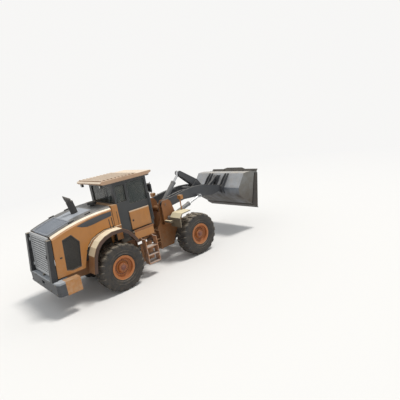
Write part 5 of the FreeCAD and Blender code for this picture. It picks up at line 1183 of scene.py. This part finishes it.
def lamp_fronts():
    """Lenses, bezels and guards of the head lamps."""
    mesh = bmesh.new()
    for hand in (1, -1):
        block_at(mesh, (0.562, 0.574), HEAD_LAMP_Y * hand, 0.082, (2.108, 2.232), 0.006)
    finished(mesh, "head_lamp_lenses", "front_frame", "lamp_clear_lens")
    mesh = bmesh.new()
    for hand in (1, -1):
        middle = HEAD_LAMP_Y * hand
        for z in (LAMP_LOW, LAMP_HIGH):
            rod(mesh, (0.572, middle - 0.09, z), (0.572, middle + 0.09, z), 0.007)
        for y in (-0.09, -0.03, 0.03, 0.09):
            rod(mesh, (0.576, middle + y, LAMP_LOW), (0.576, middle + y, LAMP_HIGH), 0.004, segments=8)
        block_at(mesh, (0.44, 0.52), middle, 0.05, (1.728, 1.742), 0.003)
    finished(mesh, "head_lamp_guards", "front_frame", "lamp_black_plastic")


def step_grips():
    """Raised studs on the step treads."""
    mesh = bmesh.new()
    for hand in (1, -1):
        for z in STEP_HEIGHTS:
            for row in range(STUD_ROWS):
                for number in range(STUDS_A_ROW):
                    spot = Vector((-1.36 + number * 0.054, (0.99 + row * 0.07) * hand, z))
                    rod(mesh, spot, spot + Vector((0, 0, 0.008)), 0.011, 0.008, 8)
    finished(mesh, "step_grips", "rear_frame", "bolt_steel", weld=False)


def boom_details():
    """Bolts beside the boom's pivot, and steel oil lines with clamps along the arms."""
    mesh = bmesh.new()
    x, y, z = BOOM_PIN
    for hand in (1, -1):
        for rise in (0.02, -0.02):
            bolt(mesh, (x, y * hand, z + rise), (0, hand, 0), 0.012)
    finished(mesh, "boom_pin_bolts", "front_frame", "bolt_steel")
    for side, hand in SIDES.items():
        for number, y in enumerate(OIL_LINES_Y):
            pipe("boom_oil_line_%s_%d" % (side, number), [(x, y * hand, z) for x, z in OIL_LINE],
                 0.010, "boom", "cylinder_grey_paint")
    mesh = bmesh.new()
    for hand in (1, -1):
        for x, z in CLAMPS:
            block_at(mesh, (x - 0.02, x + 0.02), 0.391 * hand, 0.035, (z - 0.018, z + 0.018), 0.004)
    finished(mesh, "oil_line_clamps", "boom", "charcoal_paint")


lamp_fronts()
step_grips()
boom_details()


# Floor, backdrop and light
FLOOR_RADIUS = 200
FADE_NEAR, FADE_FAR = 7.0, 24.0
BACKDROP = (0.93, 0.925, 0.915, 1)
FLOOR_COLOUR = (0.80, 0.79, 0.77, 1)
SKY_COLOUR = (0.94, 0.97, 1.0, 1)
SKY_STRENGTH = 0.62
SUN_STRENGTH = 2.2
SUN_WIDTH = math.radians(14)
SUN_COLOUR = (1.0, 0.975, 0.94)
SUN_FROM = Vector((0.30, -0.25, 1.0))


def floor():
    """Wide pale floor that fades into the backdrop far from the machine."""
    mesh = bmesh.new()
    bmesh.ops.create_circle(mesh, cap_ends=True, segments=96, radius=FLOOR_RADIUS)
    data = bpy.data.meshes.new("floor")
    mesh.to_mesh(data)
    mesh.free()
    ground = added("floor", data)
    f = Finish("pale_floor", roughness=0.9)
    reach = f.node("VectorMath", {0: f.place.outputs["Object"]}, operation="LENGTH")
    far = f.ramp(reach.outputs["Value"], FADE_NEAR, FADE_FAR)
    f.shader.inputs["Base Color"].default_value = FLOOR_COLOUR
    f.shader.inputs["Specular IOR Level"].default_value = 0.1
    glow = f.node("Emission", {"Color": BACKDROP, "Strength": 1.0})
    path = f.node("LightPath")
    seen = f.times(far, path.outputs["Is Camera Ray"])
    blend = f.node("MixShader", {0: seen, 1: f.shader.outputs[0], 2: glow.outputs[0]})
    f.feed(f.nodes["Material Output"].inputs["Surface"], blend.outputs[0])
    data.materials.append(f.material)


def sky():
    """Soft blue-white light, with the plain backdrop where it is seen directly or mirrored."""
    scene.world = bpy.data.worlds.new("studio")
    n = Nodes(scene.world)
    soft = n.nodes["Background"]
    soft.inputs["Color"].default_value = SKY_COLOUR
    soft.inputs["Strength"].default_value = SKY_STRENGTH
    shown = n.node("Background", {"Color": BACKDROP})
    ray = n.node("LightPath").outputs
    seen = n.most(n.most(ray["Is Camera Ray"], ray["Is Glossy Ray"]), ray["Is Transmission Ray"])
    choose = n.node("MixShader", {0: seen, 1: soft.outputs[0], 2: shown.outputs[0]})
    n.feed(n.nodes["World Output"].inputs["Surface"], choose.outputs[0])


def sun():
    """Warm sunlight from high on the right."""
    data = bpy.data.lights.new("key", "SUN")
    data.energy = SUN_STRENGTH
    data.angle = SUN_WIDTH
    data.color = SUN_COLOUR
    lamp = added("key", data)
    lamp.rotation_euler = SUN_FROM.to_track_quat("Z", "Y").to_euler()


floor()
sky()
sun()
scene.view_settings.view_transform = "Standard"
